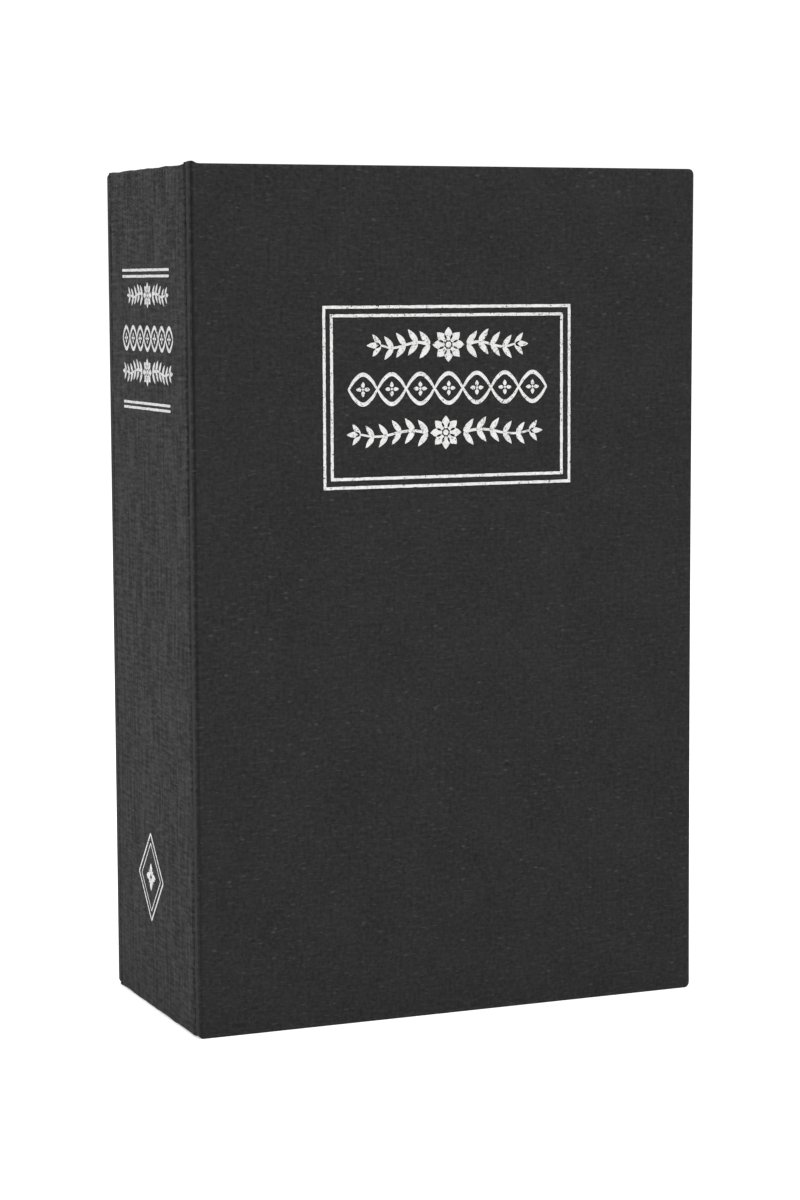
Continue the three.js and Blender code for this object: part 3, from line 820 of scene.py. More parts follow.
def solid(curve: bpy.types.Curve) -> bpy.types.Mesh:
    """Give a new mesh of a curve or a text.

    Args:
        curve: the curve or text.

    Returns:
        The mesh.
    """
    holder = bpy.data.objects.new("holder", curve)
    bpy.context.scene.collection.objects.link(holder)
    bpy.context.view_layer.update()
    drawn = baked(holder)
    bpy.data.objects.remove(holder)
    return drawn


def combine(piece: Piece, other: Piece, operation: str = "DIFFERENCE") -> None:
    """Cut one object's shape out of another or join them, and delete the other.

    Args:
        piece: the object that is kept.
        other: the shape that is taken away or added.
        operation: DIFFERENCE or UNION.
    """
    change = piece.modifiers.new("shape", "BOOLEAN")
    change.operation = operation
    change.solver = "EXACT"
    change.use_self = True
    change.object = other
    whole = piece.data
    piece.data = baked(piece)
    piece.modifiers.clear()
    bpy.data.meshes.remove(whole)
    bpy.data.objects.remove(other)
    merged = bmesh.new()
    merged.from_mesh(piece.data)
    bmesh.ops.remove_doubles(merged, verts=merged.verts, dist=EPS * MM)
    bmesh.ops.dissolve_degenerate(merged, dist=EPS * MM, edges=merged.edges)
    merged.to_mesh(piece.data)
    merged.free()
    smooth(piece.data)


def bevelled(piece: Piece, width: float, segments: int = 2) -> None:
    """Give a piece's sharp edges a small bevel.

    Args:
        piece: the object.
        width: the bevel's width, in millimetres.
        segments: the faces in it.
    """
    edge = piece.modifiers.new("edges", "BEVEL")
    edge.width = width * MM
    edge.segments = segments
    edge.limit_method = "ANGLE"
    edge.angle_limit = BEVEL_ANGLE
    edge.harden_normals = True


def softened(node: str, name: str, material: Material, width: float) -> Piece:
    """Make a copy of a CAD node with soft edges.

    Args:
        node: the CAD node.
        name: the piece's name.
        material: its finish.
        width: its edges' width, in millimetres.

    Returns:
        The piece.
    """
    form = Form()
    form.take(node)
    piece = form.finish(name, material)
    bevelled(piece, width)
    return piece


def box_mm(node: str) -> tuple[Vector, Vector]:
    """Give a CAD node's lowest and highest corner, in millimetres."""
    low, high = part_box(node)
    return low / MM, high / MM


def round_box(node: str) -> tuple[Vector, Vector, Point]:
    """Give a round CAD node's lowest and highest corner, and a point of its axis along Y.

    Args:
        node: the CAD node.

    Returns:
        Both corners and the point where the axis crosses Y = 0, in millimetres.
    """
    low, high = box_mm(node)
    centre = (low + high) / 2
    return low, high, (centre.x, 0, centre.z)


def settle(piece: Piece, body: Body, slot: Slot | None, *nodes: str) -> Piece:
    """Tie a piece to the body that carries it, and hide the nodes that it stands for."""
    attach(piece, body.value)
    return name_finish(piece, slot, *nodes)


def name_finish(piece: Piece, slot: Slot | None, *nodes: str) -> Piece:
    """Hide the nodes that a piece stands for, and report it.

    Args:
        piece: the piece, on its body.
        slot: the record's slot for its finish, if one fits; not used.
        nodes: the CAD nodes that it replaces.

    Returns:
        The piece.
    """
    if nodes:
        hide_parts(*nodes)
    log.info("%s: %d faces", piece.name, len(piece.data.polygons))
    return piece


def dress(node: str, material: Material) -> None:
    """Give a CAD node that stays its finish.

    Args:
        node: the CAD node.
        material: its finish.
    """
    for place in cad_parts[node].material_slots:
        place.material = material
    log.info("%s: finish %s", node, material.name)


# The cloth binding


def round_edge(far: float, part: float) -> float:
    """Give how far the weave runs on round an edge, from the depth and the normal's part that way."""
    return math.copysign(far, part) if abs(part) > 0.3 else 0


@dataclass
class Binding:
    """The case: cloth over three boards, turned in round them, and lined with paper."""

    cloth: float = 0.3
    edge_round: float = 0.5
    joint_round: float = 0.3
    corner: float = 1.2
    head_joint_corner: float = 0.5
    joint_corner: float = 1.3
    turn_in: float = 15
    wrap: float = 1.4
    step_in: float = 0.29
    lap: float = 0.03
    bow: float = 0.22
    crease_at: float = 0.68
    crease_depth: float = 0.26
    crease_reach: float = 0.34
    crease_rows: tuple[int, int, int] = (5, HEIGHT, 7)
    crease_foot: float = 0.25
    knob_height: float = 0.5
    knob_at: float = 0.7
    knob_reach: float = 0.8
    knob_foot: float = 0.3
    knob_foot_reach: float = 1.6
    front_joint_depth: float = 0.22
    back_joint_depth: float = 0.12
    front_foot_short: float = 0.7
    joint_short: float = 0.1
    fray: float = 0.2
    fray_pitch: float = 2.4
    corner_steps: int = 5
    edge_steps: int = 4
    fine_steps: int = 3
    joint_rows: int = 36
    joint_set_in: float = 0.1
    joint_profile: Spans = ((0, 0), (0.15, 0.2), (0.75, 0.42), (1, 0.6), (0.75, 0.78), (0.15, 1.0))
    seed: int = 5

    def build(self) -> None:
        """Make all cloth pieces, and dress the boards and linings."""
        cover = BookCloth(COVER_WIDTH, HEIGHT).material("cover cloth")
        # Painted light: the spine's cloth is the covers' cloth with a darker colour and stronger streaks, for
        # how the light falls on the spine.
        spine = BookCloth(
            SPINE_WIDTH, HEIGHT, warp=(0.85, 0.07), weft=(0.2, 1.3), grain=(0.6, 1.3),
            streaks=1.3, contrast=2.9, creases=(50.15, -0.35), crease_shades=(0.02, 0.55), painted_side_shade=0,
            colour=(0.0117, 0.0114, 0.0120),
        ).material("spine cloth")
        front = self.cover("front_cover_cloth", -1, cover)
        settle(front, Body.FRONT_COVER, Slot.BOOK_CLOTH, "front_cloth")
        back = settle(self.cover("back_cover_cloth", 1, cover), Body.BLOCK, Slot.BOOK_CLOTH, "back_cloth")
        middle = settle(self.spine(spine), Body.SPINE, Slot.BOOK_CLOTH, "spine_cloth")
        front_joint = self.joint("front_joint", "front_joint_cloth", -1, spine)
        back_joint = self.joint("back_joint", "back_joint_cloth", 1, spine)
        board = Greyboard().material("greyboard")
        paper = LiningPaper().material("lining paper")
        for side in ("front", "back", "spine"):
            dress(f"{side}_board", board)
            dress(f"{side}_lining", paper)

    def cover(self, name: str, side: int, material: Material) -> Piece:
        """Make one cover's cloth: its face, three wrapped edges with their turn-ins, and the joint edge.

        Args:
            name: the piece's name.
            side: -1 for the front and 1 for the back.
            material: the cloth.

        Returns:
            The piece.
        """
        low, high = box_mm("front_cloth" if side < 0 else "back_cloth")
        outer, inner = (low.y, high.y) if side < 0 else (high.y, low.y)
        depth = self.depth(outer, side)
        form = Form()
        form.block(low, high)
        at_fore = [e for e in form.mesh.edges if self.runs_along_y(e) and e.verts[0].co.x > 0]
        form.round(at_fore, self.corner, self.corner_steps)
        at_joint = [e for e in form.mesh.edges if self.runs_along_y(e) and e.verts[0].co.x < low.x + EPS]
        head = [e for e in at_joint if side < 0 and e.verts[0].co.z > high.z / 2]
        form.round([e for e in at_joint if e not in head], self.joint_corner, self.corner_steps)
        form.round(head, self.head_joint_corner, self.edge_steps)
        clear = low.x + 1
        outer_rim = form.edges(lambda p: depth(p) < EPS and p.x > clear)
        form.round(outer_rim, self.edge_round, self.edge_steps)
        joint_rim = form.edges(lambda p: depth(p) < EPS and p.x < low.x + EPS)
        form.round(joint_rim, self.joint_round, self.fine_steps)
        inner_rim = form.edges(lambda p: abs(p.y - inner) < EPS and p.x > clear)
        form.round(inner_rim, self.edge_round, self.fine_steps)
        form.slice(1, outer - side * self.wrap, outer - side * (self.wrap + self.lap))
        form.slice(0, high.x - self.turn_in)
        form.slice(2, self.turn_in, high.z - self.turn_in)
        for vert in form.mesh.verts:
            if depth(vert.co) > self.wrap + self.lap / 2:
                vert.co.x = max(vert.co.x, low.x + self.step_in)
        inside = form.faces(
            lambda p: abs(p.y - inner) < EPS
            and p.x < high.x - self.turn_in
            and self.turn_in < p.z < high.z - self.turn_in
        )
        form.drop(inside)
        self.crease(form, low.x, depth, side)
        self.shape_edges(form, low, high, self.knob_height if side < 0 else 0)
        form.unwrap(self.cover_map(low.x, depth))
        return self.thicken(form.finish(name, material))

    @staticmethod
    def runs_along_y(edge: BMEdge) -> bool:
        """Tell whether an edge runs along Y."""
        a, b = (v.co for v in edge.verts)
        return abs(a.y - b.y) > EPS and abs(a.x - b.x) < EPS and abs(a.z - b.z) < EPS

    @staticmethod
    def depth(outer: float, side: int) -> Depth:
        """Give the function that says how deep a place lies under a cover's face."""
        return lambda p: side * (outer - p.y)

    def crease(self, form: Form, edge: float, depth: Depth, side: int) -> None:
        """Press the joint's crease into the face beside the joint edge.

        Args:
            form: the cover's mesh.
            edge: where the joint edge is.
            depth: gives a place's depth.
            side: the cover's side.
        """
        steps = [self.crease_at + self.crease_reach * s / 3 for s in range(-2, 4)]
        form.slice(0, *[edge + s for s in steps])
        form.slice(2, *range(*self.crease_rows))
        for vert in form.mesh.verts:
            away = abs(vert.co.x - edge - self.crease_at) / self.crease_reach
            if away < 1 and depth(vert.co) < EPS:
                fade = min(1.0, self.crease_foot + vert.co.z / HEIGHT)
                press = self.crease_depth * (1 - away * away) ** 2 * fade
                vert.co.y -= side * press

    def shape_edges(self, form: Form, low: Vector, high: Vector, knob: float) -> None:
        """Draw the fore edge in along its middle, and raise the cloth's knob at the head of the joint.

        Args:
            form: the cover's mesh.
            low: its lowest corner.
            high: its highest corner.
            knob: the knob's height.
        """
        form.slice(0, *[low.x + self.knob_at + self.knob_reach * s / 2 for s in range(1, 6)])
        half = (high.z - low.z) / 2
        for vert in form.mesh.verts:
            share = 1 - ((vert.co.z - half) / half) ** 2
            near = max(0.0, (vert.co.x - high.x + self.turn_in) / self.turn_in)
            vert.co.x -= self.bow * share * near
            if vert.co.z > high.z - self.edge_round - EPS:
                vert.co.z += knob * math.exp(-(((vert.co.x - low.x - self.knob_at) / self.knob_reach) ** 2))

    @staticmethod
    def cover_map(edge: float, depth: Depth) -> WeaveMap:
        """Give the weave map of a cover, which runs on round its edges.

        Args:
            edge: where the joint edge is.
            depth: gives a place's depth.

        Returns:
            The function that gives a corner's place on the flat cloth.
        """

        def place(point: Vector, normal: Vector) -> Span:
            """Give a corner's place on the flat cloth."""
            far = depth(point)
            return (point.x - edge + round_edge(far, normal.x), point.z + round_edge(far, normal.z))

        return place

    def spine(self, material: Material) -> Piece:
        """Make the spine's cloth, turned in at head and tail, frayed there, and lapped over the joints.

        Args:
            material: the cloth.

        Returns:
            The piece.
        """
        low, high = box_mm("spine_cloth")
        low.y -= self.lap
        high.y += self.lap
        form = Form()
        form.block(low, high)
        ends = form.edges(lambda p: p.x < low.x + EPS and (p.z < low.z + EPS or p.z > high.z - EPS))
        form.round(ends, self.edge_round, self.edge_steps)
        form.slice(2, self.turn_in, high.z - self.turn_in)
        count = int(high.y / self.fray_pitch)
        form.slice(1, *[self.fray_pitch * s for s in range(-count, count + 1)])
        form.drop(form.faces(lambda p: p.x > high.x - EPS and self.turn_in < p.z < high.z - self.turn_in))

        def place(point: Vector, normal: Vector) -> Span:
            """Give a corner's place on the flat cloth."""
            deep = point.x - low.x
            return (high.y - point.y - round_edge(deep, normal.y), point.z + round_edge(deep, normal.z))

        form.unwrap(place)
        dice = random.Random(self.seed)
        offsets = {s: dice.uniform(0, self.fray) for s in range(-count - 1, count + 2)}
        for vert in form.mesh.verts:
            drawn_in = offsets[round(vert.co.y / self.fray_pitch)]
            if vert.co.z < low.z + self.edge_round + EPS:
                vert.co.z += drawn_in
            elif vert.co.z > high.z - self.edge_round - EPS:
                away = (vert.co.y - low.y) / self.knob_foot_reach
                vert.co.z += self.knob_foot * math.exp(-(away ** 2)) - drawn_in
        return self.thicken(form.finish("spine_wrap", material))

    def joint(self, name: str, node: str, side: int, material: Material) -> Piece:
        """Make the strip of cloth at the joint between spine and cover, pressed in along its crease.

        Args:
            name: the piece's name.
            node: the CAD node that it replaces.
            side: -1 for the front and 1 for the back.
            material: the cloth.

        Returns:
            The piece.
        """
        low, high = box_mm(node)
        cover_y, spine_y = (low.y, high.y) if side < 0 else (high.y, low.y)
        deep = self.front_joint_depth if side < 0 else self.back_joint_depth
        profile = [
            (low.x + self.joint_set_in + deep * share, cover_y - side * away)
            for share, away in self.joint_profile
        ] + [(low.x, spine_y)]
        form = Form()
        foot = low.z + (self.front_foot_short if side < 0 else self.joint_short)
        verts = [form.mesh.verts.new((x, y, foot)) for x, y in profile]
        edges = [form.mesh.edges.new(pair) for pair in zip(verts, verts[1:])]
        made = bmesh.ops.extrude_edge_only(form.mesh, edges=edges)["geom"]
        top = high.z + (self.knob_foot if side < 0 else -self.joint_short)
        bmesh.ops.translate(form.mesh, vec=(0, 0, top - foot), verts=only(BMVert, made))
        form.slice(2, *[high.z * s / self.joint_rows for s in range(1, self.joint_rows)])
        bmesh.ops.recalc_face_normals(form.mesh, faces=form.mesh.faces)
        form.mesh.normal_update()
        if sum(f.normal.x for f in form.mesh.faces) > 0:
            bmesh.ops.reverse_faces(form.mesh, faces=form.mesh.faces)
        form.unwrap(lambda point, normal: (SPINE_WIDTH / 2 - point.y, point.z))
        piece = self.thicken(form.finish(name, material))
        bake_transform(piece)
        return name_finish(piece, Slot.BOOK_CLOTH, node)

    def thicken(self, piece: Piece) -> Piece:
        """Give the cloth its thickness, inwards from its face.

        Args:
            piece: the cloth's face.

        Returns:
            The piece.
        """
        wall = piece.modifiers.new("cloth", "SOLIDIFY")
        wall.thickness = self.cloth * MM
        wall.offset = -1
        return piece


# The foil stamping


@dataclass(frozen=True)
class Panel:
    """A flat face of the book that foil is stamped on, measured from its left edge and from the tail."""

    origin: Point
    right: Point
    out: Point
    body: Body

    def matrix(self) -> Matrix:
        """Give the place of a drawing.

        Returns:
            The matrix, by which X runs right, Y up, and Z out of the face.
        """
        right, out = Vector(self.right), Vector(self.out)
        up = Vector((0, 0, 1))
        turn = Matrix((right, up, out)).transposed().to_4x4()
        return Matrix.Translation(self.origin) @ turn


FRONT_PANEL = Panel((-57.5, -27.5, 0), (1, 0, 0), (0, -1, 0), Body.FRONT_COVER)
SPINE_PANEL = Panel((-57.5, 27.5, 0), (0, -1, 0), (-1, 0, 0), Body.SPINE)


def middle_and_half(span: Span) -> Span:
    """Give the middle of a span, and half its length."""
    return (sum(span) / 2, (span[1] - span[0]) / 2)


class Stamp:
    """A drawing in foil, in millimetres on a panel."""

    PROUD = 0.03
    SUNK = 0.05
    ROUND_SHARE = 0.08
    RAGGED = 0.035
    WAVER_PITCH = 0.9
    LEAF_STEPS, DOT_STEPS = 16, 14
    LEAF_FULLNESS = 1.15
    HEART, PETAL_LENGTH, PETAL_WIDTH, DOT = 0.24, 0.76, 0.52, 0.17

    def __init__(self, seed: int) -> None:
        """Start with nothing drawn.

        Args:
            seed: the seed of its ragged edges.
        """
        self.form = Form()
        self.random = random.Random(seed)
        self.curve = bpy.data.curves.new("strokes", "CURVE")
        self.curve.dimensions = "3D"
        self.curve.bevel_depth = 1
        self.curve.bevel_resolution = 2
        self.curve.use_fill_caps = True
        self.curve.resolution_u = 6

    def rectangle(self, across: Span, up: Span, weight: float | None = None) -> None:
        """Draw a rectangle, filled or as a line.

        Args:
            across: its left and right edge.
            up: its lower and upper edge.
            weight: the line's width, or None where it is filled.
        """
        sketch = bmesh.new()
        (x, wide), (y, tall) = middle_and_half(across), middle_and_half(up)
        matrix = Matrix.Translation((x, y, 0)) @ Matrix.Diagonal((wide, tall, 1, 1))
        bmesh.ops.create_grid(sketch, x_segments=1, y_segments=1, size=1, matrix=matrix)
        if weight:
            middle = sketch.faces[:]
            bmesh.ops.inset_region(
                sketch, faces=middle, thickness=weight, use_boundary=True, use_even_offset=True
            )
            bmesh.ops.delete(sketch, geom=middle, context="FACES_ONLY")
        long = [e for e in sketch.edges if e.calc_length() > 3 * self.WAVER_PITCH]
        cuts = int(max(e.calc_length() for e in long) / self.WAVER_PITCH)
        bmesh.ops.subdivide_edges(sketch, edges=long, cuts=cuts, use_grid_fill=True)
        drawn = bpy.data.meshes.new("sketch")
        sketch.to_mesh(drawn)
        sketch.free()
        self.form.add(drawn)

    def leaf(self, at: Span, length: float, width: float, angle: float) -> None:
        """Draw a pointed leaf.

        Args:
            at: its root.
            length: from root to tip.
            width: at its widest.
            angle: the way that it points, in degrees anticlockwise from the right.
        """
        mesh = self.form.mesh
        made = bmesh.ops.create_circle(mesh, cap_ends=True, radius=1, segments=self.LEAF_STEPS)["verts"]
        for vert in made:
            share = min(1.0, (vert.co.x + 1) / 2)
            vert.co.y *= (1 - share ** 2) ** 0.5 * self.LEAF_FULLNESS * width / 2
            vert.co.x = share * length
        turn = Matrix.Translation((*at, 0)) @ Matrix.Rotation(math.radians(angle), 4, "Z")
        bmesh.ops.transform(mesh, matrix=turn, verts=made)

    def dot(self, at: Span, radius: float) -> None:
        """Draw a round dot.

        Args:
            at: its middle.
            radius: its radius.
        """
        matrix = Matrix.Translation((*at, 0))
        bmesh.ops.create_circle(
            self.form.mesh, cap_ends=True, radius=radius, segments=self.DOT_STEPS, matrix=matrix
        )

    def press(self) -> None:
        """Roughen the flat shapes' edges and give them their thickness, from under the cloth's face."""
        mesh = self.form.mesh
        for vert in mesh.verts:
            vert.co.x += self.random.uniform(-1, 1) * self.RAGGED
            vert.co.y += self.random.uniform(-1, 1) * self.RAGGED
            vert.co.z = -self.SUNK
        made = bmesh.ops.extrude_face_region(mesh, geom=mesh.faces[:], use_keep_orig=True)["geom"]
        bmesh.ops.translate(mesh, vec=(0, 0, self.SUNK + self.PROUD), verts=only(BMVert, made))
        bmesh.ops.recalc_face_normals(mesh, faces=mesh.faces[:])

    def stroke(self, points: Sequence[Span], widths: Sequence[float]) -> None:
        """Draw a line whose width swells and thins.

        Args:
            points: the places that it passes.
            widths: its width at each.
        """
        line = self.curve.splines.new("BEZIER")
        line.bezier_points.add(len(points) - 1)
        for knot, (x, y), width in zip(line.bezier_points, points, widths):
            knot.co = (x, y, 0)
            knot.radius = width / 2
            knot.handle_left_type = knot.handle_right_type = "AUTO"

    def rosette(self, at: Span, radius: float, petals: int) -> None:
        """Draw a flower of leaves round a dot.

        Args:
            at: its middle.
            radius: how far its leaves reach.
            petals: how many leaves it has.
        """
        for i in range(petals):
            angle = 90 + 360 * i / petals
            way = (math.cos(math.radians(angle)), math.sin(math.radians(angle)))
            x, y = (c + radius * self.HEART * w for c, w in zip(at, way))
            self.leaf((x, y), radius * self.PETAL_LENGTH, radius * self.PETAL_WIDTH, angle)
        self.dot(at, radius * self.DOT)

    def finish(self, name: str, panel: Panel, material: Material) -> None:
        """Close the drawing, put it on its panel and tie it to the panel's body.

        Args:
            name: the piece's name.
            panel: the face that carries it.
            material: the foil.
        """
        self.press()
        if self.curve.splines:
            drawn = solid(self.curve)
            drawn.transform(Matrix.Diagonal((1, 1, self.ROUND_SHARE, 1)))
            self.form.add(drawn)
        bmesh.ops.remove_doubles(self.form.mesh, verts=self.form.mesh.verts, dist=EPS)
        bmesh.ops.transform(self.form.mesh, matrix=panel.matrix(), verts=self.form.mesh.verts)
        settle(self.form.finish(name, material), panel.body, None)


@dataclass
class FoilStamping:
    """Silver stamping: a double frame on the front, rules on the spine, and rows of ornament."""

    outer: Area = ((28.8, 85.5), (113.2, 151.2))
    inner: Area = ((30.45, 83.7), (115.0, 149.45))
    weight: float = 0.62
    front_rows: tuple[Area, ...] = (
        ((38.6, 75.6), (139.5, 146.4)),
        ((34.5, 79.8), (130.4, 137.3)),
        ((34.0, 78.9), (121.2, 127.9)),
    )
    rule_span: Span = (10.5, 42.1)
    rules: tuple[float, ...] = (158.8, 157.5, 130.7, 129.6)
    rule_weight: float = 0.55
    spine_rows: tuple[Area, ...] = (
        ((13.7, 41.7), (150.9, 156.1)),
        ((10.3, 44.2), (141.7, 147.1)),
        ((10.0, 44.0), (134.5, 140.1)),
    )
    device: Area = ((16.6, 33.0), (19.2, 38.2))
    flower: float = 1.05
    flower_petals: int = 8
    branch_start: float = 1.25
    branch_sway: float = 0.16
    leaf_pitch: float = 0.86
    leaf_length: float = 1.05
    leaf_taper: float = 0.25
    leaf_width: float = 0.36
    leaf_lean: float = 52
    tip_length: float = 0.9
    stem: Span = (0.62, 0.25)
    eyes: int = 7
    eye_steps: int = 4
    wave_margin: float = 0.35
    wave: Span = (0.45, 0.4)
    lozenge_lines: Spans = ((1.0, 0.5), (0.78, 0.3))
    lozenge_flower: float = 3
    lozenge_leaf: Span = (2.1, 0.7)

    def build(self) -> None:
        """Stamp the front and the spine."""
        foil = Foil().material("silver foil")
        # Painted shade: the spine's foil is a darker copy of the same silver foil, for how the light falls on
        # the spine.
        spine_foil = Foil((0.53, 0.53, 0.53)).material("silver foil on the spine")
        frame_stamp = Stamp(11)
        frame_stamp.rectangle(*self.outer, self.weight)
        frame_stamp.rectangle(*self.inner, self.weight)
        frame_stamp.finish("front_frame_foil", FRONT_PANEL, foil)
        rules = Stamp(12)
        half = self.rule_weight / 2
        for level in self.rules:
            rules.rectangle(self.rule_span, (level - half, level + half))
        rules.finish("spine_rules_foil", SPINE_PANEL, spine_foil)
        for name, rows, panel, silver, seed in (
            ("front_ornament_foil", self.front_rows, FRONT_PANEL, foil, 13),
            ("spine_ornament_foil", self.spine_rows, SPINE_PANEL, spine_foil, 14),
        ):
            stamp = Stamp(seed)
            self.spray(stamp, *rows[0])
            self.band(stamp, *rows[1])
            self.spray(stamp, *rows[2])
            stamp.finish(name, panel, silver)
        device = Stamp(15)
        self.lozenge(device, *self.device)
        device.finish("spine_device_foil", SPINE_PANEL, spine_foil)

    def spray(self, stamp: Stamp, across: Span, up: Span) -> None:
        """Draw a flower between two branches of paired leaves.

        Args:
            stamp: the drawing.
            across: the row's left and right end.
            up: its foot and top.
        """
        (x, half), (y, tall) = middle_and_half(across), middle_and_half(up)
        stamp.rosette((x, y), tall * self.flower, self.flower_petals)
        start = tall * self.branch_start
        pairs = round((half - start) / (tall * self.leaf_pitch))
        tip = tall * self.tip_length
        step = (half - start - tip) / (pairs - 1)
        for side in (-1, 1):
            way = 90 - side * 90
            points = []
            for i in range(pairs):
                rise = tall * self.branch_sway * math.sin(math.pi * i / (pairs - 1) * 2)
                at = (x + side * (start + step * i), y + rise)
                points.append(at)
                long = tall * (self.leaf_length - self.leaf_taper * i / pairs)
                for lean in (-self.leaf_lean, self.leaf_lean):
                    stamp.leaf(at, long, long * self.leaf_width, way + lean)
            stamp.leaf((x + side * (half - tip), y), tip, tall * self.leaf_width, way)
            thick, thinning = self.stem
            stamp.stroke(points, [thick - thinning * i / pairs for i in range(pairs)])

    def band(self, stamp: Stamp, across: Span, up: Span) -> None:
        """Draw a guilloche band: two waves that cross, with a dot in each eye.

        Args:
            stamp: the drawing.
            across: the row's left and right end.
            up: its foot and top.
        """
        middle, half = middle_and_half(up)
        tall = half - self.wave_margin
        pitch = (across[1] - across[0]) / self.eyes
        steps = self.eye_steps
        swings = [math.sin(math.pi * i / steps) for i in range(steps * self.eyes + 1)]
        thin, swell = self.wave
        for way in (-1, 1):
            points = [(across[0] + pitch * i / steps, middle + way * tall * s) for i, s in enumerate(swings)]
            stamp.stroke(points, [thin + swell * abs(s) for s in swings])
        for i in range(self.eyes):
            stamp.rosette((across[0] + pitch * (i + 0.5), middle), min(tall, pitch / 2) * 0.5, 4)

    def lozenge(self, stamp: Stamp, across: Span, up: Span) -> None:
        """Draw a line lozenge round a four-leaved flower.

        Args:
            stamp: the drawing.
            across: its left and right point.
            up: its lower and upper point.
        """
        (x, half), (y, rise) = middle_and_half(across), middle_and_half(up)
        for share, width in self.lozenge_lines:
            wide, tall = half * share, rise * share
            corners = [(x - wide, y), (x, y + tall), (x + wide, y), (x, y - tall), (x - wide, y)]
            for (ax, ay), (bx, by) in zip(corners, corners[1:]):
                stamp.stroke([(ax, ay), ((ax + bx) / 2, (ay + by) / 2), (bx, by)], [width] * 3)
        stamp.rosette((x, y), self.lozenge_flower, 4)
        for angle in range(45, 360, 90):
            stamp.leaf((x, y), *self.lozenge_leaf, angle)


# The page edges


@dataclass
class PageEdges:
    """Three moulded strips that look like the edges of leaves, and the plain side behind the spine."""

    leaves: int = 118
    depth: float = 0.24
    groove_every: int = 9
    rows: int = 14
    wander: float = 0.035
    groove: Span = (0.45, 1)
    ridge: Span = (0, 0.07)
    gather: float = 1.6
    waver: Span = (-1, 0.4)
    seed: int = 21
    strips: dict[str, tuple[int, int]] = field(
        default_factory=lambda: {"pages_fore_edge": (0, 1), "pages_head": (2, 1), "pages_tail": (2, -1)}
    )

    def build(self) -> None:
        """Make the strips and dress the plain side."""
        material = PageEdge().material("page edge")
        dice = random.Random(self.seed)
        for node, (axis, way) in self.strips.items():
            piece = self.strip(node, axis, way, dice, material)
            settle(piece, Body.BLOCK, Slot.PAGE_EDGE, node)
        dress("pages_spine_side", material)

    def strip(self, node: str, axis: int, way: int, dice: random.Random, material: Material) -> Piece:
        """Make one strip of leaf edges.

        Args:
            node: the CAD node that it replaces.
            axis: the axis that its face looks along.
            way: 1 where the face looks up the axis, else -1.
            dice: the source of chance.
            material: the page edge's finish.

        Returns:
            The piece.
        """
        low, high = box_mm(node)
        along = 2 - axis
        face = high[axis] if way > 0 else low[axis]
        form = Form()
        verts = []
        for i in range(2 * self.leaves + 1):
            point = Vector((0, 0, 0))
            point.y = low.y + (high.y - low.y) * i / (2 * self.leaves)
            inner = i % 2 == 0
            deep = self.depth * dice.uniform(*self.groove) if inner else dice.uniform(*self.ridge)
            if inner and (i // 2) % self.groove_every == 0:
                deep = self.depth * self.gather
            point[axis] = face - way * deep
            point[along] = low[along]
            verts.append(form.mesh.verts.new(point))
        edges = [form.mesh.edges.new(pair) for pair in zip(verts, verts[1:])]
        reach = Vector((0, 0, 0))
        reach[along] = (high[along] - low[along]) / self.rows
        for _ in range(self.rows):
            made = bmesh.ops.extrude_edge_only(form.mesh, edges=edges)["geom"]
            moved, edges = only(BMVert, made), only(BMEdge, made)
            bmesh.ops.translate(form.mesh, vec=reach, verts=moved)
            for vert in moved:
                vert.co[axis] += dice.uniform(*self.waver) * self.wander
        faces = form.mesh.faces[:]
        made = bmesh.ops.extrude_face_region(form.mesh, geom=faces, use_keep_orig=True)["geom"]
        wall = low[axis] if way > 0 else high[axis]
        for vert in only(BMVert, made):
            vert.co[axis] = wall
        self.mitre(form, axis, way, low, high)
        bmesh.ops.recalc_face_normals(form.mesh, faces=form.mesh.faces)
        return form.finish(f"{node}_leaves", material)

    @staticmethod
    def mitre(form: Form, axis: int, way: int, low: Vector, high: Vector) -> None:
        """Cut a strip's ends at 45 degrees where it meets its neighbour at a fore corner.

        Args:
            form: the strip's mesh.
            axis: the axis that its face looks along.
            way: 1 where the face looks up the axis, else -1.
            low: its lowest corner.
            high: its highest corner.
        """
        if axis == 0:
            cuts = [((high.x, 0, low.z), (-1, 0, -1)), ((high.x, 0, high.z), (-1, 0, 1))]
        else:
            corner_z = high.z if way > 0 else low.z
            cuts = [((high.x, 0, corner_z), (1, 0, -way))]
        for corner, normal in cuts:
            bmesh.ops.holes_fill(form.mesh, edges=form.bisect(corner, normal, clear=True))


# The steel box


